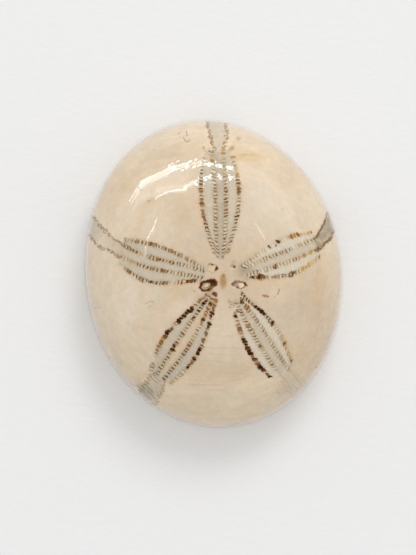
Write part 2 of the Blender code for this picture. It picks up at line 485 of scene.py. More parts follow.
@dataclass(frozen=True)
class Streak:
    """A thin line of stain or a hair crack, drawn from place to place in plan.

    Args:
        places: The places it passes, in millimetres.
        width: Its width.
        tone: Its stain.
        strength: How much of the stone it covers.
    """

    places: tuple[Pair, ...]
    width: float
    tone: Tone
    strength: float

    def gap(self, plan: Array) -> Array:
        """Returns how far each place lies from its middle line."""
        ends = np.array(self.places)
        nearest = np.full(len(plan), FAR)
        for start, stop in zip(ends[:-1], ends[1:]):
            way = stop - start
            share = np.clip((plan - start) @ way / (way @ way), 0, 1)
            away = plan - start - share[:, None] * way
            nearest = np.minimum(nearest, np.hypot(away[:, 0], away[:, 1]))
        return nearest


PETALS = (
    Petal(
        root=(1.02, 2.53),
        tip=(0.63, 18.2),
        pores=29,
        slide=0.04,
        strip=Tone.DUSK,
        pair=Tone.HAZE,
        rows=(
            PoreRow(
                *(0.58, 2.06, 1.28, 0.0),
                "slate, 3 cream, 2 olive, 2 ring, brown, 3 rust, tan, 2 rust, cream, 3 rust, brown, "
                "2 olive, 2 slate, none, 2 amber, none, amber",
            ),
            PoreRow(
                *(0.48, 1.0, -0.15, 0.1),
                "2 slate, 6 cream, brown, 6 cream, rust, 2 cream, brown, 2 cream, 4 grey, none, 2 amber, "
                "olive",
            ),
            PoreRow(
                *(-0.46, -0.81, -0.35, 0.0),
                "slate, brown, olive, 8 cream, 2 rust, 3 brown, olive, rust, 2 brown, olive, 3 tan, "
                "2 grey, olive, 2 amber",
            ),
            PoreRow(
                *(-0.7, -2.03, -1.54, 0.05),
                "3 cream, 2 olive, 2 cream, olive, 3 ring, cream, olive, 2 cream, tan, 2 rust, 2 brown, "
                "rust, 2 amber, 3 tan, amber, none, amber, olive",
            ),
        ),
    ),
    Petal(
        root=(4.86, 0.35),
        tip=(15.38, 4.37),
        pores=22,
        slide=-0.03,
        strip=Tone.HAZE,
        pair=Tone.MILK,
        rows=(
            PoreRow(
                *(0.94, 1.85, 0.98, -0.08),
                "slate, 2 grey, cream, grey, cream, none, grey, none, dark, none, grey, black, tan, "
                "none, tan, rust, amber, rust, 3 amber",
            ),
            PoreRow(
                *(0.6, 0.84, 0.0, 0.05),
                "2 slate, 2 grey, 2 tan, grey, 3 olive, 2 olive, brown, grey, olive, none, 3 tan, olive, "
                "tan, olive",
            ),
            PoreRow(
                *(-0.58, -0.73, -0.29, 0.04),
                "2 slate, 2 cream, none, slate, 2 grey, rust, 3 grey, tan, cream, olive, brown, amber, "
                "rust, 2 amber, tan, brown",
            ),
            PoreRow(
                *(-0.97, -1.72, -1.4, 0.11),
                "grey, dark, rust, 3 dark, grey, dark, rust, grey, ring, grey, ring, black, grey, tan, "
                "5 amber, olive",
            ),
        ),
    ),
    Petal(
        root=(3.8, -4.27),
        tip=(10.57, -14.79),
        pores=25,
        slide=-0.07,
        strip=Tone.HAZE,
        pair=Tone.MILK,
        rows=(
            PoreRow(
                *(1.02, 1.56, 1.23, 0.04),
                "3 ring, brown, dark, 4 black, 3 ring, black, 4 grey, 2 tan, rust, 2 tan, amber, grey, "
                "brown",
            ),
            PoreRow(
                *(0.4, 0.76, 0.2, 0.06),
                "dark, brown, 2 rust, tan, 2 cream, brown, 3 grey, brown, 4 tan, 4 cream, tan, brown, "
                "olive, 2 grey",
            ),
            PoreRow(
                *(-0.45, -0.94, -0.2, -0.03),
                "slate, grey, 2 rust, grey, 2 cream, rust, 6 cream, dark, tan, 3 grey, 3 cream, 2 grey, "
                "none",
            ),
            PoreRow(
                *(-1.11, -2.08, -1.05, 0.04),
                "2 tan, none, amber, black, 2 cream, brown, dark, rust, tan, black, dark, black, dark, "
                "2 black, dark, black, rust, dark, 2 black, rust, black",
            ),
        ),
    ),
    Petal(
        root=(-0.52, -3.59),
        tip=(-7.92, -15.43),
        pores=27,
        slide=0.0,
        strip=Tone.FLESH,
        pair=Tone.HAZE,
        rows=(
            PoreRow(
                *(0.91, 1.82, 1.35, -0.14),
                "2 rust, 2 dark, black, cream, dark, black, slate, black, brown, rust, 2 ring, 2 black, "
                "rust, dark, brown, 2 black, olive, 3 grey, 2 tan",
            ),
            PoreRow(
                *(0.42, 0.59, 0.58, -0.02),
                "rust, dark, brown, dark, 2 rust, dark, rust, 2 tan, brown, 2 tan, cream, 4 brown, "
                "2 slate, 2 brown, 2 olive, 3 slate",
            ),
            PoreRow(
                *(-0.22, -0.67, -0.22, -0.01),
                "slate, 2 black, slate, 2 ring, cream, dark, 5 cream, 2 slate, 2 brown, 2 dark, 3 brown, "
                "3 olive, 2 slate",
            ),
            PoreRow(
                *(-0.72, -1.74, -1.26, 0.22),
                "2 dark, rust, brown, rust, dark, 2 black, dark, 2 black, ring, tan, 2 dark, black, "
                "6 rust, tan, 2 none, olive, grey",
            ),
        ),
    ),
    Petal(
        root=(-1.61, -0.06),
        tip=(-13.63, 3.21),
        pores=24,
        slide=0.01,
        strip=Tone.HAZE,
        pair=Tone.HAZE,
        rows=(
            PoreRow(
                *(0.92, 1.8, 1.72, -0.24),
                "grey, dark, rust, dark, 3 copper, none, 3 brown, rust, slate, dark, brown, slate, "
                "brown, olive, 2 brown, rust, brown, 2 amber",
            ),
            PoreRow(
                *(0.53, 0.7, 0.54, -0.12),
                "2 slate, brown, 3 olive, 4 cream, brown, rust, brown, olive, rust, olive, 3 brown, "
                "rust, amber, olive, 2 tan",
            ),
            PoreRow(
                *(-0.46, -0.95, 0.33, -0.16),
                "3 slate, 2 grey, 3 olive, 3 brown, olive, brown, rust, 2 cream, brown, none, amber, "
                "olive, 2 rust, brown, olive",
            ),
            PoreRow(
                *(-0.82, -1.88, -0.8, 0.06),
                "2 grey, cream, 2 olive, brown, tan, brown, olive, brown, rust, olive, brown, grey, "
                "copper, brown, rust, tan, brown, olive, 2 brown, tan, grey",
            ),
        ),
    ),
)

BANDS = (
    Band(
        stations=(
            Station(0.8, 87.8, 0.62),
            Station(0.865, 88.05, 1.05),
            Station(0.9, 88.0, 1.28),
            Station(1.0, 88.9, 1.42),
        ),
        tone=Tone.HAZE,
        grey=0.75,
        line=0.7,
    ),
    Band(
        stations=(
            Station(0.7, 166.6, 0.95),
            Station(0.78, 165.0, 1.03),
            Station(0.83, 163.7, 1.14),
            Station(0.87, 162.95, 1.38),
            Station(0.91, 161.95, 1.44),
            Station(0.965, 159.5, 1.41),
            Station(1.0, 158.5, 1.4),
        ),
        tone=Tone.HAZE,
        grey=0.95,
        line=0.7,
    ),
    Band(
        stations=(
            Station(0.81, 15.9, 0.8),
            Station(0.87, 17.25, 1.09),
            Station(0.91, 19.3, 1.16),
            Station(0.95, 21.25, 1.36),
            Station(1.0, 24.15, 1.47),
        ),
        tone=Tone.UMBER,
        grey=0.85,
        line=0.8,
    ),
    Band(
        stations=(Station(0.79, 242.8, 0.75), Station(0.87, 242.4, 1.3), Station(1.0, 242.0, 1.5)),
        tone=Tone.HAZE,
        grey=0.8,
        line=0.35,
    ),
    Band(
        stations=(Station(0.81, 305.6, 0.85), Station(0.9, 306.0, 1.3), Station(1.0, 306.5, 1.4)),
        tone=Tone.HAZE,
        grey=0.45,
        line=0.08,
    ),
)

STAINS_AND_PAINTED_LIGHT = tuple(
    StainAndLightPatch(Oval((east, north), length, width, turn_deg), tone, strength, edge)
    for east, north, length, width, turn_deg, tone, strength, edge in (
        # Broad clouds of the stone's own colours, and broad patches of painted light and shade, each marked
        (-14.09, 12.27, 9.02, 4.51, 55, Tone.SAND, 0.55, 1.6),
        (-5.67, 8.66, 3.91, 3.61, 0, Tone.BUFF, 0.4, 1.5),
        (-7.32, 5.8, 3.91, 2.1, 20, Tone.CLOUD, 0.35, 1.5),
        (5.46, 10.01, 8.72, 7.82, 80, Tone.ROSE, 0.65, 1.6),
        (10.72, 8.81, 6.61, 6.01, 30, Tone.CLOUD, 0.5, 1.6),
        (12.97, 16.33, 9.62, 5.11, -45, Tone.SAND, 0.5, 1.6),
        (1.25, -7.73, 10.52, 8.42, 90, Tone.CLOUD, 0.5, 1.6),
        (2.9, -14.64, 6.01, 3.01, 10, Tone.BUFF, 0.35, 1.6),
        (0.35, -18.4, 9.62, 1.95, 4, Tone.ASH, 0.3, 1.6),
        (-13.33, -4.87, 7.22, 3.61, 80, Tone.BLUSH, 0.85, 1.2),
        (-8.67, -2.47, 3.91, 2.71, 70, Tone.CLOUD, 0.6, 1.5),
        (-5.07, -5.17, 3.91, 2.1, 30, Tone.PALE, 0.5, 1.5),
        (13.27, -4.57, 6.01, 4.51, 20, Tone.ASH, 0.35, 1.7),
        (15.38, -2.01, 5.11, 1.35, 85, Tone.ORANGE, 0.4, 1.6),
        (16.73, -0.96, 4.51, 0.9, 88, Tone.ORANGE, 0.3, 1.6),
        (-9.5, 8.0, 9.0, 6.0, 60, Tone.PALE, 0.55, 1.6),
        (-11.08, 7.91, 5.11, 1.35, 75, Tone.ORANGE, 0.5, 1.6),
        (-11.6, 9.2, 3.6, 0.7, 68, Tone.SAND, 0.5, 1.4),
        (-13.3, 6.9, 5.0, 1.0, 75, Tone.ORANGE, 0.25, 1.6),
        (-16.04, -9.38, 5.11, 2.71, 105, Tone.CLOUD, 0.5, 1.6),
        (-14.24, -13.29, 6.92, 3.31, -55, Tone.BUFF, 0.35, 1.7),
        (-3.56, -20.2, 14.43, 2.71, -8, Tone.SAND, 0.45, 1.7),
        (16.28, -8.48, 7.82, 3.91, 80, Tone.ASH, 0.3, 1.7),
        (8.16, -18.25, 9.02, 3.91, 35, Tone.BUFF, 0.3, 1.7),
        (-9.58, 18.28, 6.92, 3.01, 40, Tone.CLOUD, 0.4, 1.7),
        (10.27, -18.25, 4.51, 2.41, 45, Tone.HAZE, 0.4, 1.6),
        (-17.09, 1.74, 9.02, 3.01, 85, Tone.ROSE, 0.5, 1.6),
        (15.68, -3.97, 9.02, 2.1, 95, Tone.SAND, 0.4, 1.7),
        (-2.06, -14.79, 6.01, 4.51, 20, Tone.SAND, 0.4, 1.7),
        (-6.27, 12.57, 6.01, 3.31, 20, Tone.SAND, 0.35, 1.7),
        # Painted shade: darker over the crown, which the lamps light more than the flanks.
        (1.2, -2.0, 14.0, 11.0, 90, Tone.BUFF, 0.4, 1.3),
        # Painted light: paler over the left flank and the rear left, which the lamps leave in shade.
        (-16.0, -4.5, 27.0, 9.0, 94, Tone.PALE, 0.7, 1.4),
        (-10.5, -9.0, 22.0, 9.0, 110, Tone.PALE, 0.35, 1.6),
        # Painted light: paler along the rear margin, which the lamps leave in shade.
        (0.0, -20.0, 24.0, 6.0, 0, Tone.PALE, 0.35, 1.6),
        # Painted shade: darker over the right flank, which the lamps light more than the left.
        (16.0, -8.0, 20.0, 8.0, 76, Tone.BUFF, 0.35, 1.5),
        (-6.0, 17.6, 9.0, 5.0, 25, Tone.BUFF, 0.45, 1.5),
        # Painted light: a paler strip along the front margin.
        (-4.0, 21.2, 12.0, 3.0, 14, Tone.PALE, 0.4, 1.5),
        (1.25, -8.6, 5.0, 7.0, 0, Tone.PALE, 0.4, 1.6),
        (-12.8, 8.6, 5.0, 4.0, 60, Tone.PALE, 0.45, 1.6),
        (13.0, -13.0, 7.0, 5.0, 60, Tone.BUFF, 0.4, 1.6),
        (3.7, 19.0, 2.4, 4.0, 0, Tone.SAND, 0.4, 1.6),
        # Painted reflection: a broad pale band of a window across the front right slope.
        (10.5, 13.5, 16.0, 8.0, -48, Tone.PALE, 0.35, 1.5),
        # Smaller stains, and a painted sheen
        (5.76, 17.53, 4.51, 2.1, -5, Tone.ORANGE, 0.45, 1.5),
        (5.76, 19.93, 1.65, 1.2, 0, Tone.ORANGE, 0.6, 1.4),
        (7.26, 19.03, 2.1, 1.2, -30, Tone.ORANGE, 0.4, 1.5),
        (4.86, 17.75, 3.31, 0.39, 2, Tone.HONEY, 0.25, 1.2),
        (3.73, 20.23, 0.75, 0.6, 0, Tone.HONEY, 0.5, 1.2),
        (-12.28, -3.97, 3.01, 1.35, 75, Tone.BLUSH, 0.5, 1.4),
        (-10.93, -15.54, 2.41, 1.5, 20, Tone.ORANGE, 0.35, 1.4),
        (-11.83, -16.6, 2.41, 0.75, -35, Tone.BLUSH, 0.6, 1.2),
        (-8.82, -17.35, 2.56, 2.1, -10, Tone.DUSK, 0.6, 1.3),
        (-10.2, -17.5, 2.9, 1.5, -42, Tone.UMBER, 0.5, 1.1),
        # Painted sheen: a pale patch where the light glances off the front.
        (6.3, 20.1, 4.2, 2.4, -25, Tone.PALE, 0.6, 1.3),
        (10.7, 14.1, 6.0, 3.6, -50, Tone.BUFF, 0.16, 1.3),
        (-13.6, 8.6, 6.0, 3.4, 60, Tone.PALE, 0.3, 1.4),
        (-3.4, -21.0, 8.0, 2.6, -6, Tone.PALE, 0.25, 1.4),
        (17.18, 7.16, 3.01, 1.8, 75, Tone.UMBER, 0.5, 1.3),
        (10.42, -17.5, 1.8, 1.2, 20, Tone.BUFF, 0.4, 1.4),
        (-9.58, 10.76, 2.1, 1.2, 10, Tone.HONEY, 0.15, 1.4),
        (-13.94, 2.95, 1.8, 1.2, -10, Tone.TAN, 0.35, 1.3),
        (-0.71, -2.84, 1.5, 0.6, 20, Tone.HONEY, 0.5, 1.2),
        # Crown: the sieve plate, the fills and rims of the four pits, and painted glints on two pits
        (1.4, -1.15, 2.1, 1.0, 91, Tone.HONEY, 0.95, 1.0),
        (1.46, -0.3, 0.51, 0.39, 0, Tone.IRON, 0.45, 1.2),
        (-0.21, 0.84, 1.6, 1.4, 0, Tone.HONEY, 0.6, 0.3),
        (-0.26, 0.83, 1.3, 1.1, 0, Tone.FLESH, 0.97, 0.4),
        (0.41, 0.77, 0.78, 0.33, 85, Tone.DARK, 0.95, 0.6),
        (-0.21, 1.37, 0.36, 0.33, 0, Tone.DARK, 0.85, 0.8),
        (-0.69, 1.41, 0.48, 0.27, 20, Tone.IRON, 0.5, 1.0),
        (3.04, 1.74, 0.9, 0.51, 0, Tone.HONEY, 0.35, 1.0),
        # Painted glint: a pale patch at the left of the front right pit.
        (2.68, 0.92, 1.05, 0.9, 0, Tone.PALE, 0.35, 0.8),
        (2.75, 1.1, 0.75, 0.6, 20, Tone.HONEY, 0.8, 1.0),
        # Painted glint: a pale spot at the left of the front right pit.
        (2.8, 0.78, 0.33, 0.4, 0, Tone.BLUSH, 0.95, 0.8),
        (3.1, 1.0, 0.57, 0.36, 65, Tone.BLACK, 0.95, 0.8),
        (-0.9, -1.76, 2.95, 1.75, 23, Tone.RUST, 1.0, 0.16),
        (-0.95, -1.78, 2.6, 1.45, 23, Tone.DARK, 0.95, 0.2),
        (0.02, -1.55, 0.6, 0.9, 70, Tone.RUST, 0.6, 0.6),
        (-0.32, -1.47, 0.83, 0.75, 60, Tone.DARK, 0.7, 0.8),
        (-0.21, -2.16, 0.9, 0.48, 30, Tone.HONEY, 0.6, 0.8),
        (-1.2, -1.83, 1.35, 0.85, 28, Tone.FLESH, 0.97, 0.35),
        (3.85, -1.65, 2.2, 1.12, -6, Tone.RUST, 0.9, 0.24),
        (3.44, -1.52, 0.96, 0.63, 35, Tone.DUSK, 0.8, 0.5),
        (4.09, -1.73, 1.1, 0.7, -4, Tone.IVORY, 0.97, 0.4),
        (4.69, -1.55, 0.63, 0.36, -50, Tone.DARK, 0.7, 0.7),
        (4.13, -2.12, 0.36, 0.24, 0, Tone.IRON, 0.8, 0.8),
        # Painted highlight: a pale streak along the lower left rim of the rear right pit.
        (3.02, -2.0, 0.75, 0.27, -30, Tone.BLUSH, 0.7, 0.8),
        (2.81, -1.56, 0.39, 0.27, 40, Tone.DARK, 0.6, 0.9),
        # Large stained pores at the roots of the petals
        (0.1, -3.04, 1.15, 0.75, -30, Tone.RUST, 0.97, 0.5),
        (0.0, -2.95, 0.45, 0.36, 0, Tone.DARK, 0.8, 0.8),
        (3.8, -5.56, 0.9, 0.75, 30, Tone.IRON, 0.8, 0.5),
        (3.8, -5.53, 0.39, 0.3, 0, Tone.PALE, 0.8, 0.8),
        (3.23, -6.34, 0.69, 0.63, 0, Tone.DARK, 0.95, 0.5),
        (7.16, -0.36, 1.26, 0.75, -5, Tone.DARK, 0.85, 0.6),
        (6.96, -0.92, 0.81, 0.39, 10, Tone.HONEY, 0.75, 0.8),
        (10.33, -0.3, 0.72, 0.69, 45, Tone.BLACK, 0.95, 0.35),
        (10.33, -0.27, 0.33, 0.33, 0, Tone.BLUSH, 1.0, 0.6),
        (11.35, -0.18, 0.66, 0.63, 45, Tone.DARK, 0.9, 0.4),
        (11.35, -0.18, 0.27, 0.27, 0, Tone.ROSE, 0.9, 0.7),
        (9.09, 0.9, 0.54, 0.45, -40, Tone.DARK, 0.95, 0.6),
        (8.21, 3.97, 0.39, 0.36, 0, Tone.DARK, 0.9, 0.7),
        (9.44, 4.89, 0.48, 0.57, 90, Tone.BLACK, 0.95, 0.6),
        (9.28, 4.22, 0.42, 0.45, 0, Tone.SLATE, 0.8, 0.8),
        (-3.35, -5.47, 0.6, 0.54, 40, Tone.BLACK, 0.9, 0.5),
        (-6.98, -8.84, 0.75, 0.66, 0, Tone.BLACK, 0.95, 0.5),
        (-0.71, -7.52, 0.69, 0.6, 0, Tone.DARK, 0.9, 0.5),
        (4.49, -9.83, 0.69, 0.6, -50, Tone.BLACK, 0.95, 0.5),
        (5.37, -11.73, 0.9, 0.69, -50, Tone.BLACK, 0.95, 0.5),
        (6.92, -13.97, 0.96, 0.66, -45, Tone.BLACK, 0.95, 0.5),
        (7.08, -5.56, 1.11, 0.75, -40, Tone.BLACK, 0.85, 0.5),
        (-9.09, -13.59, 0.45, 0.42, 0, Tone.OLIVE, 0.8, 0.8),
        (4.9, 0.55, 2.6, 2.2, 15, Tone.UMBER, 0.7, 1.6),
        (4.89, -0.14, 1.05, 0.9, 0, Tone.HAZE, 0.5, 0.6),
        # Lone flecks between the petals
        (7.71, -3.37, 1.2, 0.48, -8, Tone.HONEY, 0.9, 0.7),
        (7.5, -3.37, 0.51, 0.3, -8, Tone.IRON, 0.35, 1.0),
        (8.09, -3.43, 0.3, 0.21, 0, Tone.IRON, 0.6, 1.0),
        (15.38, -14.04, 0.3, 0.3, 0, Tone.UMBER, 0.7, 1.0),
        (2.9, -22.76, 0.9, 0.24, 10, Tone.ASH, 0.6, 1.0),
        (10.27, 9.64, 0.36, 0.3, 0, Tone.ASH, 0.7, 1.0),
        (-9.73, 10.84, 0.39, 0.3, 0, Tone.IRON, 0.3, 1.0),
        (-9.0, 18.51, 0.33, 0.3, 0, Tone.IRON, 0.2, 1.0),
        (2.42, -5.02, 0.36, 0.3, 0, Tone.HONEY, 0.7, 1.0),
        (-2.89, -2.62, 0.39, 0.33, 0, Tone.HONEY, 0.6, 1.0),
    )
)

STREAKS = (
    # Ticks and a curl near the front
    Streak(((-4.13, 21.36), (-3.97, 20.68)), 0.17, Tone.IRON, 0.5),
    Streak(((-4.55, 20.35), (-4.22, 19.84), (-3.83, 19.72), (-3.62, 19.99)), 0.18, Tone.IRON, 0.42),
    Streak(((-5.37, 20.99), (-5.16, 21.08)), 0.15, Tone.IRON, 0.4),
    # Hair cracks and scribbles
    Streak(((-11.38, 12.94), (-10.81, 12.42)), 0.17, Tone.UMBER, 0.8),
    Streak(((-10.1, -4.48), (-9.58, -4.12), (-9.06, -4.21), (-8.88, -4.6)), 0.15, Tone.UMBER, 0.5),
    Streak(((-9.88, -5.02), (-9.2, -4.8)), 0.14, Tone.UMBER, 0.35),
    Streak(((9.52, -3.1), (9.79, -2.53), (9.7, -2.32)), 0.17, Tone.IRON, 0.6),
    Streak(((9.06, -3.52), (9.22, -3.37)), 0.14, Tone.IRON, 0.35),
    Streak(((-18.52, -4.66), (-17.39, -4.54), (-16.49, -5.11)), 0.2, Tone.BLUSH, 0.8),
    Streak(((-18.29, -5.17), (-16.94, -5.05)), 0.15, Tone.BUFF, 0.5),
    Streak(((-14.54, -6.22), (-13.48, -7.13), (-12.13, -7.58)), 0.15, Tone.BLUSH, 0.5),
    Streak(((-13.18, -7.28), (-11.83, -8.48)), 0.14, Tone.UMBER, 0.14),
    # Faint growth lines at the rear
    Streak(((-1.46, -10.97), (0.65, -11.18), (2.75, -11.03), (5.01, -11.24)), 0.3, Tone.BUFF, 0.34),
    Streak(((-1.16, -11.94), (1.25, -12.15), (3.95, -12.03)), 0.28, Tone.BUFF, 0.24),
    Streak(((-3.86, -12.69), (-1.46, -13.08), (1.25, -13.14)), 0.28, Tone.BUFF, 0.24),
    Streak(((-3.26, -16.51), (-1.16, -16.69), (1.25, -16.63)), 0.28, Tone.UMBER, 0.14),
    Streak(((-1.16, -17.35), (1.55, -17.53)), 0.28, Tone.BUFF, 0.24),
    Streak(((1.85, -14.79), (4.4, -15.0)), 0.28, Tone.BUFF, 0.28),
    Streak(((2.15, -15.84), (4.86, -15.96)), 0.28, Tone.BUFF, 0.2),
    Streak(((-0.86, -9.08), (1.55, -9.38), (3.65, -9.23)), 0.28, Tone.BUFF, 0.2),
    Streak(((-2.66, -18.4), (0.35, -18.85), (3.65, -18.7)), 0.17, Tone.CLOUD, 0.4),
    # Dark combed strokes where the rear left band meets the margin
    Streak(((-11.47, -16.93), (-10.78, -17.35), (-10.03, -18.1), (-9.37, -18.94)), 0.22, Tone.SLATE, 0.42),
    Streak(((-11.29, -17.41), (-10.54, -17.98), (-9.82, -18.85)), 0.2, Tone.SLATE, 0.42),
    Streak(((-10.96, -16.78), (-10.18, -17.32), (-9.43, -18.04), (-8.76, -18.79)), 0.22, Tone.SLATE, 0.42),
    Streak(((-10.48, -16.45), (-9.73, -17.14), (-9.03, -17.86)), 0.2, Tone.SLATE, 0.42),
    Streak(((-9.73, -15.18), (-9.03, -14.94), (-8.37, -14.7)), 0.22, Tone.SLATE, 0.42),
    Streak(((-9.94, -15.63), (-9.34, -15.39)), 0.2, Tone.SLATE, 0.42),
    Streak(((-10.42, -16.08), (-9.64, -16.54)), 0.18, Tone.UMBER, 0.8),
    Streak(((-9.28, -15.69), (-8.52, -16.36)), 0.15, Tone.UMBER, 0.6),
    Streak(((-8.82, -15.48), (-7.98, -16.21)), 0.15, Tone.UMBER, 0.6),
    Streak(((-8.52, -17.65), (-8.43, -18.19)), 0.15, Tone.UMBER, 0.6),
    Streak(((-8.07, -17.5), (-7.95, -17.95)), 0.14, Tone.UMBER, 0.5),
    Streak(((-12.67, -16.21), (-12.01, -16.84), (-11.23, -16.75)), 0.17, Tone.UMBER, 0.5),
    # Thin brown lines that leave the front right petal for its band
    Streak(
        ((14.63, 3.34), (15.23, 3.58), (16.04, 3.76), (16.43, 4.33), (17.03, 4.84)),
        *(0.23, Tone.OLIVE, 0.8),
    ),
    Streak(((16.52, 4.54), (17.33, 4.96), (17.72, 5.44)), 0.39, Tone.OLIVE, 0.7),
    Streak(
        ((14.88, 5.05), (15.35, 5.41), (15.77, 6.16), (16.28, 6.98), (16.73, 8.06)),
        *(0.24, Tone.OLIVE, 0.75),
    ),
    Streak(((15.32, 5.32), (15.71, 5.8)), 0.42, Tone.OLIVE, 0.6),
    Streak(((16.94, 6.1), (17.39, 7.31), (17.33, 8.66)), 0.17, Tone.UMBER, 0.4),
    # Faint trails past the tips of the rear right petal
    Streak(((9.91, -15.0), (10.87, -16.15), (11.77, -17.5)), 0.3, Tone.OLIVE, 0.15),
    Streak(((11.24, -14.27), (12.37, -15.69), (13.27, -16.9)), 0.3, Tone.OLIVE, 0.15),
    Streak(((9.37, -17.65), (10.12, -18.19)), 0.15, Tone.UMBER, 0.4),
    Streak(((11.77, -16.6), (12.61, -17.35)), 0.15, Tone.UMBER, 0.3),
)


@dataclass(frozen=True)
class Hollow:
    """A pit of the upper side, or a plug that stands in it.

    Args:
        oval: Its edge.
        depth: How deep it is in millimetres, below zero for a plug.
        wall: Share of its radius that its wall takes.
    """

    oval: Oval
    depth: float
    wall: float

    def sink(self, plan: Array) -> Array:
        """Returns how far it sinks each place."""
        return self.depth * smooth(1.0, 1.0 - self.wall, self.oval.radius(plan))


HOLLOWS = (
    Hollow(Oval((-0.22, 1.0), 1.35, 1.1, 20), 0.1, 0.4),
    Hollow(Oval((2.95, 1.05), 0.9, 0.7, 0), 0.08, 0.5),
    Hollow(Oval((-0.78, -1.73), 2.4, 1.6, 22), 0.6, 0.35),
    Hollow(Oval((-1.1, -1.8), 1.15, 0.85, 30), -0.45, 0.4),
    Hollow(Oval((3.84, -1.62), 1.85, 1.1, -4), 0.35, 0.4),
    Hollow(Oval((4.1, -1.74), 1.2, 0.75, -4), -0.26, 0.4),
)


@dataclass(frozen=True)
class Mouth:
    """The five sided mouth in its dish, with swollen lips between shallow grooves."""

    centre: Pair = (0.7, 1.9)
    radius: float = 1.9
    lobe: float = 0.3
    wall: float = 1.1
    depth: float = 2.4
    lip_bulge: float = 0.35
    lip_distance: float = 3.3
    lip_width: float = 1.1
    groove_depth: float = 0.3
    groove_distance: float = 4.4
    groove_width: float = 1.5
    arms: int = 5
    fade: Pair = (1.64, 1.712)

    def sink(self, survey: Survey) -> Array:
        """Returns how far the mouth sinks each place of the underside."""
        away = survey.plan - np.array(self.centre)
        distance = np.hypot(away[:, 0], away[:, 1])
        arm = np.cos(self.arms * (np.arctan2(away[:, 1], away[:, 0]) - QUARTER))
        edge = self.radius + self.lobe * arm
        throat = self.depth * (1 - smooth(-self.wall / 2, self.wall / 2, distance - edge))
        lip = bell(distance - self.lip_distance, self.lip_width) * np.clip(-arm, 0, None)
        groove = bell(distance - self.groove_distance, self.groove_width) * np.clip(arm, 0, None)
        shown = smooth(*self.fade, survey.travel)
        relief = throat + self.groove_depth * groove - self.lip_bulge * lip
        return np.where(survey.is_upper, 0, shown * relief)


@dataclass(frozen=True)
class Vent:
    """The oval vent at the rear of the underside."""

    oval: Oval = Oval((0.7, -16.2), 2.57, 1.8, 90)
    depth: float = 2.0
    wall: float = 0.4

    def sink(self, survey: Survey) -> Array:
        """Returns how far the vent sinks each place of the underside."""
        depth = self.depth * smooth(1.0, 1.0 - self.wall, self.oval.radius(survey.plan))
        return np.where(survey.is_upper, 0, depth)


@dataclass(frozen=True)
class Chip:
    """A small chip in the rim, hollowed as by a ball."""

    centre: Triple = (-12.45, -17.35, 5.6)
    radius: float = 0.75
    depth: float = 0.45

    def sink(self, points: Array) -> Array:
        """Returns how far the chip sinks each point."""
        away = np.linalg.norm(points - np.array(self.centre), axis=1)
        return self.depth * smooth(self.radius, 0.0, away)


@dataclass(frozen=True)
class HandPolish:
    """The faint waviness that hand polishing leaves, as a few crossed waves of fixed seed."""

    height: float = 0.02
    lengths: tuple[float, ...] = (9.0, 7.0, 5.5, 4.2, 3.1)
    seed: int = 7

    def sink(self, points: Array) -> Array:
        """Returns how far the waviness sinks each point."""
        chance = np.random.default_rng(self.seed)
        total = np.zeros(len(points))
        for length in self.lengths:
            way = chance.normal(size=3)
            way *= FULL_TURN / length / np.linalg.norm(way)
            total += np.sin(points @ way + chance.uniform(0, FULL_TURN)) * length / self.lengths[0]
        return self.height * total / 2


@dataclass(frozen=True)
class Ripple:
    """A patch of finer waviness in the polish, which breaks a reflection up.

    Args:
        oval: Where it lies.
        length: The length of its waves in millimetres.
        height: Their height.
        draw: How many times longer the waves are along the oval's axis.
        seed: Keeps its waves the same each time.
        waves: How many waves cross each other.
        paces: How much shorter or longer than their length the waves may be.
        fade: Share of the oval's radius at which they begin and where they are full.
    """

    oval: Oval
    length: float
    height: float
    draw: float
    seed: int
    waves: int = 9
    paces: Pair = (0.75, 1.35)
    fade: Pair = (1.25, 0.7)

    def sink(self, plan: Array) -> Array:
        """Returns how far it sinks each place."""
        chance = np.random.default_rng(self.seed)
        turn = math.radians(self.oval.turn_deg)
        along = plan @ np.array([math.cos(turn), math.sin(turn)]) / self.draw
        across = plan @ np.array([-math.sin(turn), math.cos(turn)])
        total = np.zeros(len(plan))
        for way in chance.uniform(0, FULL_TURN, self.waves):
            pace = FULL_TURN / self.length * chance.uniform(*self.paces)
            shift = chance.uniform(0, FULL_TURN)
            total += np.sin(pace * (along * math.cos(way) + across * math.sin(way)) + shift)
        return self.height * total / 2 * smooth(*self.fade, self.oval.radius(plan))


RIPPLES = (
    Ripple(Oval((0.9, 15.6), 12.0, 6.4, 0), 0.65, 0.0017, 1.0, 3),
    Ripple(Oval((-7.6, 16.2), 11.0, 3.2, 22), 0.55, 0.0019, 5.0, 5),
    Ripple(Oval((-4.4, 16.7), 6.8, 2.6, 5), 0.65, 0.0027, 1.0, 8),
)


# The stone's mesh


@dataclass(frozen=True)
class Fineness:
    """How fine the mesh is at a mark.

    Args:
        edge: Length of an edge on the mark, in millimetres.
        growth: How much longer an edge may be for each millimetre away from it.
    """

    edge: float
    growth: float = 0.5


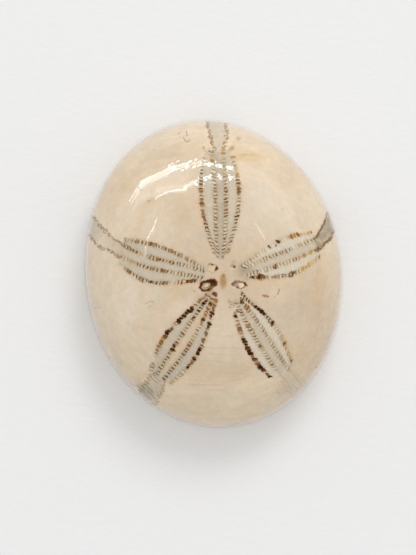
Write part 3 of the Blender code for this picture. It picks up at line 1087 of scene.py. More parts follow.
@dataclass
class SandDollar:
    """The fossil: one stone with its relief, its markings and its polish."""

    form: StoneForm = StoneForm()
    mouth: Mouth = Mouth()
    vent: Vent = Vent()
    chip: Chip = Chip()
    polish: HandPolish = HandPolish()
    base_cuts: int = 6
    passes: int = 4
    open_edge: float = 1.1
    at_pores: Fineness = Fineness(0.13)
    at_streaks: Fineness = Fineness(0.1, 0.6)
    at_hollows: Fineness = Fineness(0.11)
    at_bands: Fineness = Fineness(0.3)
    at_mouth: Fineness = Fineness(0.28, 0.4)
    at_vent: Fineness = Fineness(0.15)
    stain_and_light_edge: float = 0.1
    row_half: float = 0.36
    streak_half: float = 0.12
    lip_reach: float = 3.2
    ripple_reach: float = 1.1
    ripple_growth: float = 0.4
    band_edge: Pair = (0.3, -0.25)
    matt_rim: Pair = (1.25, 1.0)
    polish_end: Pair = (1.3, 1.0)
    pore_depth: float = 0.045
    pore_gain: float = 1.5
    pore_along: float = 0.2
    pore_across: float = 0.28
    row_sway: float = 0.04

    def marks(self, plan: Array) -> Marks:
        """Returns the marks of all petals at each place in plan."""
        found = PETALS[0].marks(plan, 0)
        for number, petal in enumerate(PETALS[1:], 1):
            found.take(petal.marks(plan, number))
        return found

    def band_marks(self, survey: Survey) -> dict[str, Array]:
        """Returns how far outside its band each place lies, its tint, and how strong grey and line are."""
        outside = np.full(len(survey.plan), FAR)
        grey = np.zeros(len(survey.plan))
        line = np.zeros(len(survey.plan))
        tint = np.zeros((len(survey.plan), 3))
        for band in BANDS:
            here, shown = band.edges(survey)
            nearer = here < outside
            outside = np.where(nearer, here, outside)
            grey = np.maximum(grey, band.grey * shown * smooth(*self.band_edge, here))
            line = np.where(nearer, band.line * shown, line)
            tint = np.where(nearer[:, None], np.array(band.tone.value.colour), tint)
        return {"outside": outside, "grey": grey, "line": line, "tint": tint}

    def details(self, survey: Survey) -> Iterator[tuple[Fineness, Array]]:
        """Yields each mark's fineness and how far places lie from it."""
        plan = survey.plan
        upper = np.where(survey.is_upper, 0, FAR)
        below = np.where(survey.is_upper, FAR, 0)
        yield self.at_pores, self.marks(plan).reach - self.row_half + upper
        for stain_and_light in STAINS_AND_PAINTED_LIGHT:
            blur = stain_and_light.edge * min(stain_and_light.oval.length, stain_and_light.oval.width) / 4
            yield Fineness(self.stain_and_light_edge + blur / 2), stain_and_light.oval.gap(plan) + upper
        for streak in STREAKS:
            yield self.at_streaks, streak.gap(plan) - self.streak_half + upper
        for hollow in HOLLOWS:
            yield self.at_hollows, (hollow.oval.radius(plan) - 1) * hollow.oval.width / 2 + upper
        for ripple in RIPPLES:
            outside = (ripple.oval.radius(plan) - self.ripple_reach) * ripple.oval.width / 2
            yield Fineness(ripple.length / 4, self.ripple_growth), outside + upper
        band = self.band_marks(survey)
        yield self.at_bands, np.where(band["line"] > 0, np.abs(band["outside"]), FAR)
        away = np.linalg.norm(plan - np.array(self.mouth.centre), axis=1)
        yield self.at_mouth, away - self.lip_reach + below
        yield self.at_vent, self.vent.oval.gap(plan) + below

    def wanted_edge(self, survey: Survey) -> Array:
        """Returns how long an edge may be at each place, in millimetres."""
        wanted = np.full(len(survey.plan), self.open_edge)
        for fineness, away in self.details(survey):
            wanted = np.minimum(wanted, fineness.edge + fineness.growth * np.clip(away, 0, None))
        return wanted

    def refine(self, bm: bmesh.types.BMesh) -> int:
        """Halves each edge of the unit sphere that is too long where it lands on the stone.

        Args:
            bm: The sphere, made of triangles.

        Returns:
            The number of edges cut.
        """
        mesh = bpy.data.meshes.new("sphere")
        bm.to_mesh(mesh)
        ways = read_points(mesh)
        ends = np.zeros(len(mesh.edges) * 2, np.int32)
        mesh.edges.foreach_get("vertices", ends)
        bpy.data.meshes.remove(mesh)
        ends = ends.reshape(-1, 2)
        places = self.form.survey(ways).points()
        length = np.linalg.norm(places[ends[:, 0]] - places[ends[:, 1]], axis=1)
        middle = ways[ends[:, 0]] + ways[ends[:, 1]]
        middle /= np.linalg.norm(middle, axis=1)[:, None]
        too_long = np.flatnonzero(length > self.wanted_edge(self.form.survey(middle)))
        bm.edges.ensure_lookup_table()
        edges = [bm.edges[int(index)] for index in too_long]
        made = bmesh.ops.subdivide_edges(bm, edges=edges, cuts=1, use_grid_fill=True)
        for element in made["geom_inner"]:
            if isinstance(element, bmesh.types.BMVert):
                element.co.normalize()
        wide = [face for face in bm.faces if len(face.verts) > 3]
        bmesh.ops.triangulate(bm, faces=wide)
        return len(edges)

    def mesh(self) -> bpy.types.Mesh:
        """Returns the stone's mesh with its relief and its marks."""
        bm = bmesh.new()
        bmesh.ops.create_icosphere(bm, subdivisions=self.base_cuts, radius=1.0)
        for _ in range(self.passes):
            LOG.info("edges cut: %d", self.refine(bm))
        mesh = bpy.data.meshes.new("fossil_stone")
        bm.to_mesh(mesh)
        bm.free()
        survey = self.form.survey(read_points(mesh))
        marks = self.marks(ragged_plan(survey.plan, self.row_sway))
        write_points(mesh, survey.points() * MM)
        sunk = self.sink(survey, marks)
        write_points(mesh, (survey.points() - read_normals(mesh) * sunk[:, None]) * MM)
        self.write_petals(mesh, survey, marks)
        self.write_stains_and_painted_light(mesh, survey)
        self.write_streaks(mesh, survey)
        mesh.shade_smooth()
        return mesh

    def sink(self, survey: Survey, marks: Marks) -> Array:
        """Returns how far all relief sinks each place below the smooth form."""
        upper = survey.is_upper * 1.0
        along = (marks.phase % 1.0 - 0.5) * PORE_PITCH / self.pore_along
        pore = np.clip(1 - along**2 - (marks.reach / self.pore_across) ** 2, 0, None)
        sunk = upper * self.pore_depth * np.sqrt(pore) * np.clip(marks.stain[:, 3] * self.pore_gain, 0, 1)
        for hollow in HOLLOWS:
            sunk += upper * hollow.sink(survey.plan)
        for ripple in RIPPLES:
            sunk += upper * ripple.sink(survey.plan)
        sunk += self.mouth.sink(survey) + self.vent.sink(survey) + self.chip.sink(survey.points())
        return sunk + self.polish.sink(survey.points()) * smooth(*self.polish_end, survey.travel)

    def write_petals(self, mesh: bpy.types.Mesh, survey: Survey, marks: Marks) -> None:
        """Writes the petals and the bands that run on from them.

        Args:
            mesh: The stone's mesh.
            survey: Its places.
            marks: Its marks of the petals.
        """
        upper = survey.is_upper * 1.0
        band = self.band_marks(survey)
        write_values(mesh, "pore_reach", marks.reach + (1 - upper) * FAR)
        write_values(mesh, "pore_phase", marks.phase)
        write_values(mesh, "pore_row", marks.row)
        write_colours(mesh, "pore_tone", marks.stain[:, :3], marks.stain[:, 3] * upper)
        write_values(mesh, "pore_fill", marks.stain[:, 4] * upper)
        write_values(mesh, "pore_pair", marks.pair * upper)
        petal = marks.grey * upper
        plate = np.where((petal >= band["grey"])[:, None], marks.plate, band["tint"])
        write_colours(mesh, "grey_plates", plate, np.maximum(petal, band["grey"]))
        write_values(mesh, "band_outside", band["outside"])
        write_values(mesh, "band_line", band["line"])
        write_values(mesh, "band_run", survey.travel * survey.margin)

    def write_stains_and_painted_light(self, mesh: bpy.types.Mesh, survey: Survey) -> None:
        """Writes the patches of stain and of painted light and shade, each laid over those before it, and how
        matt the pits of the crown are.
        """
        upper = survey.is_upper * 1.0
        tint = np.zeros((len(upper), 3))
        cover = np.zeros(len(upper))
        ragged = ragged_plan(survey.plan)
        for stain_and_light in STAINS_AND_PAINTED_LIGHT:
            here = stain_and_light.cover(ragged if stain_and_light.edge < 1 else survey.plan) * upper
            after = here + cover * (1 - here)
            colour = np.array(stain_and_light.tone.value.colour)
            mixed = colour * here[:, None] + tint * (cover * (1 - here))[:, None]
            tint = np.where(after[:, None] > 0, mixed / np.maximum(after, 1e-6)[:, None], tint)
            cover = after
        write_colours(mesh, "stain_and_light", tint, cover)
        matt = sum(smooth(*self.matt_rim, hollow.oval.radius(survey.plan)) for hollow in HOLLOWS)
        write_values(mesh, "matt", np.clip(matt, 0, 1) * upper)

    def write_streaks(self, mesh: bpy.types.Mesh, survey: Survey) -> None:
        """Writes the nearest streak: how far it lies in its half widths, its tint and its strength."""
        upper = survey.is_upper * 1.0
        nearest = np.full(len(upper), FAR)
        tint = np.zeros((len(upper), 3))
        strength = np.zeros(len(upper))
        for streak in STREAKS:
            gap = streak.gap(survey.plan) * 2 / streak.width
            nearer = gap < nearest
            nearest = np.where(nearer, gap, nearest)
            tint = np.where(nearer[:, None], np.array(streak.tone.value.colour), tint)
            strength = np.where(nearer, streak.strength, strength)
        write_values(mesh, "streak_gap", nearest + (1 - upper) * FAR)
        write_colours(mesh, "streak", tint, strength)

    def build(self) -> bpy.types.Object:
        """Returns the fossil as one dressed object."""
        mesh = self.mesh()
        mesh.materials.append(StoneFinish().material())
        stone = add_object("fossil_stone", mesh)
        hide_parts("sand_dollar")
        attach(stone, "root")
        return stone


def ragged_plan(plan: Array, sway: float = 0.06) -> Array:
    """Returns places nudged to and fro, so that an even edge drawn with them looks broken."""
    nudge = np.zeros_like(plan)
    for number, length in enumerate((1.3, 0.83, 0.52)):
        aim = 2.1 * number + 0.5
        way = FULL_TURN / length * np.array([math.cos(aim), math.sin(aim)])
        swing = np.column_stack([np.sin(plan @ way + number), np.cos(plan @ way[::-1] + 2.0 * number)])
        nudge += sway * length * swing
    return plan + nudge


def add_object(name: str, data: bpy.types.ID) -> bpy.types.Object:
    """Returns a new object of the scene."""
    made = bpy.data.objects.new(name, data)
    bpy.context.scene.collection.objects.link(made)
    return made


def read_points(mesh: bpy.types.Mesh) -> Array:
    """Returns the mesh's points, one row each."""
    values = np.zeros(len(mesh.vertices) * 3, np.float32)
    mesh.vertices.foreach_get("co", values)
    return values.reshape(-1, 3).astype(float)


def write_points(mesh: bpy.types.Mesh, points: Array) -> None:
    """Moves the mesh's points."""
    mesh.vertices.foreach_set("co", points.astype(np.float32).ravel())
    mesh.update()


def read_normals(mesh: bpy.types.Mesh) -> Array:
    """Returns the normals at the mesh's points."""
    values = np.zeros(len(mesh.vertices) * 3, np.float32)
    mesh.vertex_normals.foreach_get("vector", values)
    return values.reshape(-1, 3).astype(float)


def write_values(mesh: bpy.types.Mesh, name: str, values: Array) -> None:
    """Keeps one number a point as an attribute of the mesh."""
    made = mesh.attributes.new(name, "FLOAT", "POINT")
    made.data.foreach_set("value", values.astype(np.float32))


def write_colours(mesh: bpy.types.Mesh, name: str, colours: Array, alpha: Array) -> None:
    """Keeps a colour and its strength a point as an attribute of the mesh."""
    made = mesh.attributes.new(name, "FLOAT_COLOR", "POINT")
    made.data.foreach_set("color", np.column_stack([colours, alpha]).astype(np.float32).ravel())


# Finishes


@dataclass(frozen=True)
class Grain:
    """A soft noise.

    Args:
        scale: How often it swings in a millimetre.
        detail: How many finer swings lie on it.
        rough: How strong those are.
        turn_deg: How far it is turned in plan.
        stretch: How much it is pressed together along each axis.
    """

    scale: float
    detail: float = 2.0
    rough: float = 0.5
    turn_deg: float = 0.0
    stretch: Triple = (1.0, 1.0, 1.0)


class Wire:
    """A value that flows between the nodes of a graph, and that sums and products can be written with."""

    def __init__(self, graph: "Graph", socket: Socket) -> None:
        """Keeps the graph, and the socket that the value comes from."""
        self.graph = graph
        self.socket = socket

    def __add__(self, other: object) -> "Wire":
        """Returns the sum of both."""
        return self.graph.math("ADD", self, other)

    def __sub__(self, other: object) -> "Wire":
        """Returns this value less another."""
        return self.graph.math("SUBTRACT", self, other)

    def __rsub__(self, other: object) -> "Wire":
        """Returns a plain number less this value."""
        return self.graph.math("SUBTRACT", other, self)

    def __mul__(self, other: object) -> "Wire":
        """Returns the product of both."""
        return self.graph.math("MULTIPLY", self, other)

    def __truediv__(self, other: object) -> "Wire":
        """Returns this value divided by another."""
        return self.graph.math("DIVIDE", self, other)


class Graph:
    """Adds nodes to one shader tree and joins them."""

    def __init__(self, tree: bpy.types.NodeTree) -> None:
        """Starts work on a tree."""
        self.tree = tree

    def feed(self, socket: Socket, value: object) -> None:
        """Joins a socket to a wire, or gives it a plain value."""
        if isinstance(value, Wire):
            self.tree.links.new(value.socket, socket)
        elif isinstance(value, tuple) and len(value) == 3 and socket.type == "RGBA":
            socket.default_value = (*value, 1.0)
        else:
            socket.default_value = value

    def node(self, kind: str, inputs: Inputs, **settings: object) -> bpy.types.Node:
        """Adds a node.

        Args:
            kind: Its Blender type.
            inputs: Values or wires by the name or number of its inputs.
            settings: Its own properties.

        Returns:
            The node.
        """
        made = self.tree.nodes.new(kind)
        for name, value in settings.items():
            setattr(made, name, value)
        for name, value in inputs.items():
            self.feed(made.inputs[name], value)
        return made

    def out(self, kind: str, inputs: Inputs, output: str | int = 0, **settings: object) -> Wire:
        """Adds a node and returns one of its outputs, the first unless another is named."""
        return Wire(self, self.node(kind, inputs, **settings).outputs[output])

    def math(self, operation: str, *values: object, clamp: bool = False) -> Wire:
        """Returns the result of a math node."""
        return self.out("ShaderNodeMath", dict(enumerate(values)), operation=operation, use_clamp=clamp)

    def step(self, low: float, high: float, value: Wire) -> Wire:
        """Returns 0 up to low and 1 from high, with an even slope between."""
        inputs = {"Value": value, "From Min": low, "From Max": high}
        return self.out("ShaderNodeMapRange", inputs, interpolation_type="SMOOTHSTEP")

    def span(self, value: Wire, low: float, high: float) -> Wire:
        """Returns a share from 0 to 1 stretched between two values."""
        return self.out("ShaderNodeMapRange", {"Value": value, "To Min": low, "To Max": high})

    def mix(self, share: object, first: object, second: object, blend: str = "MIX") -> Wire:
        """Returns a mix of two colours."""
        inputs = {0: share, 6: first, 7: second}
        return self.out("ShaderNodeMix", inputs, 2, data_type="RGBA", blend_type=blend)

    def tinted(self, colour: object, level: Wire) -> Wire:
        """Returns a colour made darker or brighter by a level."""
        grey = self.out("ShaderNodeCombineColor", {0: level, 1: level, 2: level})
        return self.mix(1.0, colour, grey, "MULTIPLY")

    def glaze(self, share: Wire, ground: Wire, tone: object) -> Wire:
        """Returns a ground seen through a stain: a thin layer warms it and a thick one hides it."""
        under = self.out("ShaderNodeGamma", {"Color": ground, "Gamma": 1.0 - share})
        over = self.out("ShaderNodeGamma", {"Color": tone, "Gamma": share})
        return self.mix(1.0, under, over, "MULTIPLY")

    def noise(self, place: Wire, grain: Grain) -> Wire:
        """Returns soft noise between 0 and 1."""
        if grain.turn_deg or grain.stretch != Grain.stretch:
            place = self.stretch(place, grain.stretch, grain.turn_deg)
        inputs = {"Vector": place, "Scale": grain.scale, "Detail": grain.detail, "Roughness": grain.rough}
        return self.out("ShaderNodeTexNoise", inputs)

    def swing(self, place: Wire, grain: Grain, reach: float = 1.0) -> Wire:
        """Returns soft noise that swings to and fro over a reach, about 0."""
        return (self.noise(place, grain) - 0.5) * reach

    def parts(self, kind: str, whole: Wire) -> tuple[Wire, ...]:
        """Returns the three parts of a colour or a place."""
        made = self.node(kind, {0: whole})
        return tuple(Wire(self, made.outputs[index]) for index in range(3))

    def chance(self, seed: Wire) -> tuple[Wire, ...]:
        """Returns three random numbers for a seed."""
        drawn = self.out("ShaderNodeTexWhiteNoise", {"W": seed}, "Color", noise_dimensions="1D")
        return self.parts("ShaderNodeSeparateColor", drawn)

    def place(self) -> Wire:
        """Returns the place on the piece in millimetres."""
        return self.stretch(self.out("ShaderNodeTexCoord", {}, "Object"), (1 / MM, 1 / MM, 1 / MM))

    def stretch(self, place: Wire, scale: Triple, turn_deg: float = 0.0) -> Wire:
        """Returns a place turned about Z and scaled along each axis."""
        turn = (0.0, 0.0, math.radians(turn_deg))
        return self.out("ShaderNodeMapping", {"Vector": place, "Scale": scale, "Rotation": turn})

    def value(self, name: str) -> Wire:
        """Returns a number that the mesh keeps."""
        return self.out("ShaderNodeAttribute", {}, "Fac", attribute_name=name)

    def colour(self, name: str) -> tuple[Wire, Wire]:
        """Returns a colour that the mesh keeps, and its strength."""
        made = self.node("ShaderNodeAttribute", {}, attribute_name=name)
        return Wire(self, made.outputs["Color"]), Wire(self, made.outputs["Alpha"])

    def ring(self, place: Wire, run: Wire, turns: float) -> Wire:
        """Returns a place on rings round the middle, fine across the rings and coarse along them."""
        level = self.stretch(place, (1.0, 1.0, 0.0))
        aim = self.out("ShaderNodeVectorMath", {0: level}, operation="NORMALIZE")
        east, north, _ = self.parts("ShaderNodeSeparateXYZ", aim)
        return self.out("ShaderNodeCombineXYZ", {0: east * turns, 1: north * turns, 2: run})

    def bump(self, height: Wire, distance: float) -> Wire:
        """Returns a normal tilted by a height, whose unit stands for a distance in millimetres."""
        return self.out("ShaderNodeBump", {"Strength": 1.0, "Distance": distance * MM, "Height": height})

    def group(self, tree: bpy.types.NodeTree, **inputs: object) -> dict[str, Wire]:
        """Places a node group and returns its outputs by name."""
        made = self.node("ShaderNodeGroup", {}, node_tree=tree)
        for name, value in inputs.items():
            self.feed(made.inputs[name], value)
        return {socket.name: Wire(self, socket) for socket in made.outputs}


@dataclass(frozen=True)
class Effect:
    """A shader node group with named inputs and outputs.

    Args:
        name: Its name.
        inputs: Starting value of each input by name: a number, a colour, or nothing for a place.
        outputs: Kind of each output, by name.
    """

    name: str
    inputs: dict[str, object]
    outputs: dict[str, str]

    def start(self) -> tuple[Graph, dict[str, Wire], bpy.types.Node]:
        """Returns a graph for the group, its inputs by name, and its output node."""
        tree = bpy.data.node_groups.new(self.name, "ShaderNodeTree")
        kinds = {tuple: "NodeSocketColor", float: "NodeSocketFloat", type(None): "NodeSocketVector"}
        for name, value in self.inputs.items():
            socket = tree.interface.new_socket(name, in_out="INPUT", socket_type=kinds[type(value)])
            if value is not None:
                socket.default_value = (*value, 1.0) if isinstance(value, tuple) else value
        for name, kind in self.outputs.items():
            tree.interface.new_socket(name, in_out="OUTPUT", socket_type=f"NodeSocket{kind}")
        source = tree.nodes.new("NodeGroupInput")
        result = tree.nodes.new("NodeGroupOutput")
        graph = Graph(tree)
        return graph, {socket.name: Wire(graph, socket) for socket in source.outputs}, result


def blank_material(name: str) -> tuple[bpy.types.Material, Graph, bpy.types.Node]:
    """Returns a new material, its graph, and its shader."""
    material = bpy.data.materials.new(name)
    material.use_nodes = True
    return material, Graph(material.node_tree), material.node_tree.nodes["Principled BSDF"]


@dataclass(frozen=True)
class CloudedStone:
    """Pale stone with soft clouds of other tints, growth lines near its rim and fine mottling, and painted
    light: a paler colour towards its margin.
    """

    warm: Grain = Grain(0.16, 2.5)
    pink: Grain = Grain(0.22, 3.0, turn_deg=40)
    cool: Grain = Grain(0.3, 3.0, turn_deg=-25, stretch=(1.3, 0.8, 1.0))
    cloud_edge: Pair = (0.48, 0.66)
    pink_edge: Pair = (0.48, 0.68)
    blotch: Grain = Grain(0.55, 3.0, 0.55)
    broad: Grain = Grain(1.3, 3.0, 0.6, 15)
    fine: Grain = Grain(4.5, 3.0, 0.65)
    lines: Grain = Grain(1.6, 3.0, 0.6)
    ring_turns: float = 5.0
    coarse_share: float = 0.3
    fine_share: float = 0.2
    mottle_gain: float = 10.0
    # Painted light: where the paler rim colour begins and is full, and how much of it is laid on, to make up
    # for the shade on the flanks.
    painted_light_zone: Pair = (13.0, 20.0)
    painted_light_share: float = 0.85
    line_zone: Pair = (11.0, 18.0)
    line_share: float = 0.12

    def tree(self) -> bpy.types.NodeTree:
        """Returns the node group."""
        inputs = {
            "Place": None,
            "Run": 0.0,
            "Body": (0.6, 0.49, 0.34),
            "Warm": (0.62, 0.48, 0.31),
            "Pink": (0.6, 0.46, 0.34),
            "Cool": (0.58, 0.51, 0.39),
            # Painted light: the paler colour towards the margin.
            "Rim": (0.7, 0.56, 0.4),
            "Mottle": 0.05,
        }
        graph, given, result = Effect("clouded_stone", inputs, {"Color": "Color", "Shade": "Float"}).start()
        place, run = given["Place"], given["Run"]
        warm = graph.step(*self.cloud_edge, graph.noise(place, self.warm))
        pink = graph.step(*self.pink_edge, graph.noise(place, self.pink))
        cool = graph.step(*self.cloud_edge, graph.noise(place, self.cool))
        colour = graph.mix(warm, given["Body"], given["Warm"])
        colour = graph.mix(pink, colour, given["Pink"])
        colour = graph.mix(cool, colour, given["Cool"])
        # Painted light: towards the margin the colour turns to the paler rim colour, which makes up for the
        # shade the lamps leave on the flanks.
        colour = graph.mix(graph.step(*self.painted_light_zone, run) * self.painted_light_share, colour, given["Rim"])
        lines = graph.noise(graph.ring(place, run, self.ring_turns), self.lines)
        coarse = graph.noise(place, self.blotch) * self.coarse_share
        coarse = coarse + graph.noise(place, self.broad) * self.coarse_share
        speckle = coarse + graph.noise(place, self.fine) * self.fine_share + lines * self.fine_share
        swing = (speckle - 0.5) * given["Mottle"] * self.mottle_gain
        grown = (lines - 0.5) * graph.step(*self.line_zone, run) * self.line_share
        shade = swing + grown + 1.0
        graph.feed(result.inputs["Color"], graph.tinted(colour, shade))
        graph.feed(result.inputs["Shade"], shade)
        return graph.tree


@dataclass(frozen=True)
class PoreChain:
    """A row of small pale pores between stained walls, each pore of its own size, depth and stain.

    Its ranges hold a value at either end of a chance, and its edges where a mask starts and where it is full.
    """

    sway: Grain = Grain(2.1)
    sway_reach: float = 0.22
    drift: Grain = Grain(1.9, 1.0, turn_deg=70)
    drift_reach: float = 0.4
    fray: Grain = Grain(3.6)
    fray_reach: float = 0.36
    wear: Grain = Grain(1.7, 3.0, 0.6)
    wear_range: Pair = (0.35, 1.4)
    most_pores: float = 64.0
    bar_edge: Pair = (0.3, 0.9)
    bar_reach: float = -0.05
    row_edge: Pair = (0.38, 0.17)
    row_waist: float = 0.1
    pore_length: Pair = (0.17, 0.24)
    pore_width: Pair = (0.2, 0.4)
    pore_edge: Pair = (1.2, 0.75)
    side_edge: Pair = (0.1, 0.26)
    side_range: Pair = (0.15, 0.8)
    wall_range: Pair = (0.1, 0.98)
    bars_range: Pair = (0.65, 1.1)
    size_edge: Pair = (0.25, 0.6)
    fill_by_size: Pair = (0.55, 1.25)
    fill_by_hue: Pair = (1.7, 0.4)
    hardness: float = 1.2
    shown_gain: float = 1.4
    bead_range: Pair = (0.4, 1.0)
    halo_edge: Pair = (0.75, 0.3)
    halo_share: float = 0.14
    tone_range: Pair = (0.75, 1.25)
    matt_share: float = 0.7

    def tree(self) -> bpy.types.NodeTree:
        """Returns the node group."""
        inputs = {
            "Place": None,
            "Reach": FAR,
            "Phase": 0.0,
            "Row": 0.0,
            "Ground": (0.6, 0.5, 0.35),
            "Bead": (0.7, 0.62, 0.48),
            "Tone": (0.2, 0.1, 0.05),
            "Bars": 0.5,
            "Fill": 0.5,
        }
        outputs = {"Color": "Color", "Cover": "Float", "Height": "Float"}
        graph, given, result = Effect("pore_chain", inputs, outputs).start()
        place = given["Place"]
        reach = given["Reach"] + graph.swing(place, self.sway, self.sway_reach)
        phase = given["Phase"] + graph.swing(place, self.drift, self.drift_reach)
        side = reach + graph.swing(place, self.fray, self.fray_reach)
        seed = graph.math("FLOOR", phase) + graph.math("ROUND", given["Row"]) * self.most_pores
        size, depth, hue = graph.chance(seed)
        between = graph.math("MULTIPLY_ADD", graph.math("COSINE", phase * FULL_TURN), 0.5, 0.5)
        bar = graph.step(*self.bar_edge, between)
        waist = graph.math("MULTIPLY_ADD", 1.0 - size, self.row_waist, side)
        is_row = graph.step(*self.row_edge, graph.math("MULTIPLY_ADD", bar, self.bar_reach, waist))
        shown = graph.math("MULTIPLY", given["Bars"], self.shown_gain, clamp=True)
        first = (graph.math("FRACT", phase) - 0.5) * PORE_PITCH / graph.span(depth, *self.pore_length)
        second = side / graph.span(size, *self.pore_width)
        is_pore = graph.step(*self.pore_edge, graph.math("SQRT", first * first + second * second))
        rim = graph.step(*self.side_edge, side) * graph.span(size, *self.side_range)
        walls = graph.span(graph.math("MAXIMUM", bar, rim), *self.wall_range)
        wear = graph.span(graph.noise(place, self.wear), *self.wear_range)
        bars = is_row * walls * given["Bars"] * graph.span(hue, *self.bars_range) * wear
        by_size = graph.span(graph.step(*self.size_edge, size), *self.fill_by_size)
        fill = is_pore * given["Fill"] * (by_size * graph.span(hue, *self.fill_by_hue))
        cover = graph.math("POWER", graph.math("MAXIMUM", bars, fill, clamp=True), self.hardness)
        beads = is_row * shown * (1.0 - bar) * graph.span(depth, *self.bead_range)
        halo = graph.step(*self.halo_edge, side) * shown * self.halo_share
        paled = graph.mix(halo, graph.mix(beads, given["Ground"], given["Bead"]), given["Tone"])
        tone = graph.tinted(given["Tone"], graph.span(depth, *self.tone_range))
        graph.feed(result.inputs["Color"], graph.glaze(cover, paled, tone))
        graph.feed(result.inputs["Cover"], graph.math("MAXIMUM", cover, is_row * shown * self.matt_share))
        graph.feed(result.inputs["Height"], is_row * bar * shown)
        return graph.tree


@dataclass(frozen=True)
class WavyEdge:
    """The dotted, toothed brown line along the edge of a band."""

    stray: Grain = Grain(0.8, 1.0, turn_deg=20)
    stray_run: float = 2.0
    drift: Grain = Grain(1.1, 1.0)
    drift_reach: float = 0.7
    dots: Grain = Grain(3.2, turn_deg=30)
    dot_edge: Pair = (0.36, 0.6)
    width_range: Pair = (0.0, 0.55)
    line_edge: Pair = (-0.1, 0.2)

    def tree(self) -> bpy.types.NodeTree:
        """Returns the node group."""
        inputs = {"Place": None, "Outside": FAR, "Run": 0.0, "Pitch": 0.8, "Swing": 0.3}
        graph, given, result = Effect("wavy_edge", inputs, {"Mask": "Float"}).start()
        place = given["Place"]
        run = given["Run"] + graph.noise(place, self.stray) * self.stray_run
        tooth = graph.math("PINGPONG", run / given["Pitch"], 0.5)
        swing = (tooth - 0.25) * 2.0 * given["Swing"]
        drift = graph.swing(place, self.drift, self.drift_reach)
        line = graph.math("ABSOLUTE", given["Outside"] + swing + drift)
        dots = graph.noise(place, self.dots)
        edge = graph.step(*self.line_edge, graph.span(dots, *self.width_range) - line)
        graph.feed(result.inputs["Mask"], edge * graph.step(*self.dot_edge, dots))
        return graph.tree


@dataclass(frozen=True)
class WornPolish:
    """The roughness and the fine waviness of a hand polished face."""

    cloud: Grain = Grain(0.35, 3.0)
    fine: Grain = Grain(7.0, 3.0, 0.6)
    fine_share: float = 0.3
    wear_edge: Pair = (0.42, 0.75)
    ripple: Grain = Grain(0.7)
    fine_height: float = 0.05
    pits: Grain = Grain(1.5)

    def tree(self) -> bpy.types.NodeTree:
        """Returns the node group."""
        inputs = {"Place": None, "Smooth": 0.2, "Dull": 0.35, "Pits": 0.0}
        outputs = {"Roughness": "Float", "Height": "Float"}
        graph, given, result = Effect("worn_polish", inputs, outputs).start()
        place = given["Place"]
        fine = graph.noise(place, self.fine)
        mottled = graph.noise(place, self.cloud) * (1 - self.fine_share) + fine * self.fine_share
        dulled = graph.step(*self.wear_edge, mottled) * (given["Dull"] - given["Smooth"])
        graph.feed(result.inputs["Roughness"], dulled + given["Smooth"])
        ripple = graph.noise(place, self.ripple) + fine * self.fine_height
        graph.feed(result.inputs["Height"], ripple + graph.noise(place, self.pits) * given["Pits"])
        return graph.tree


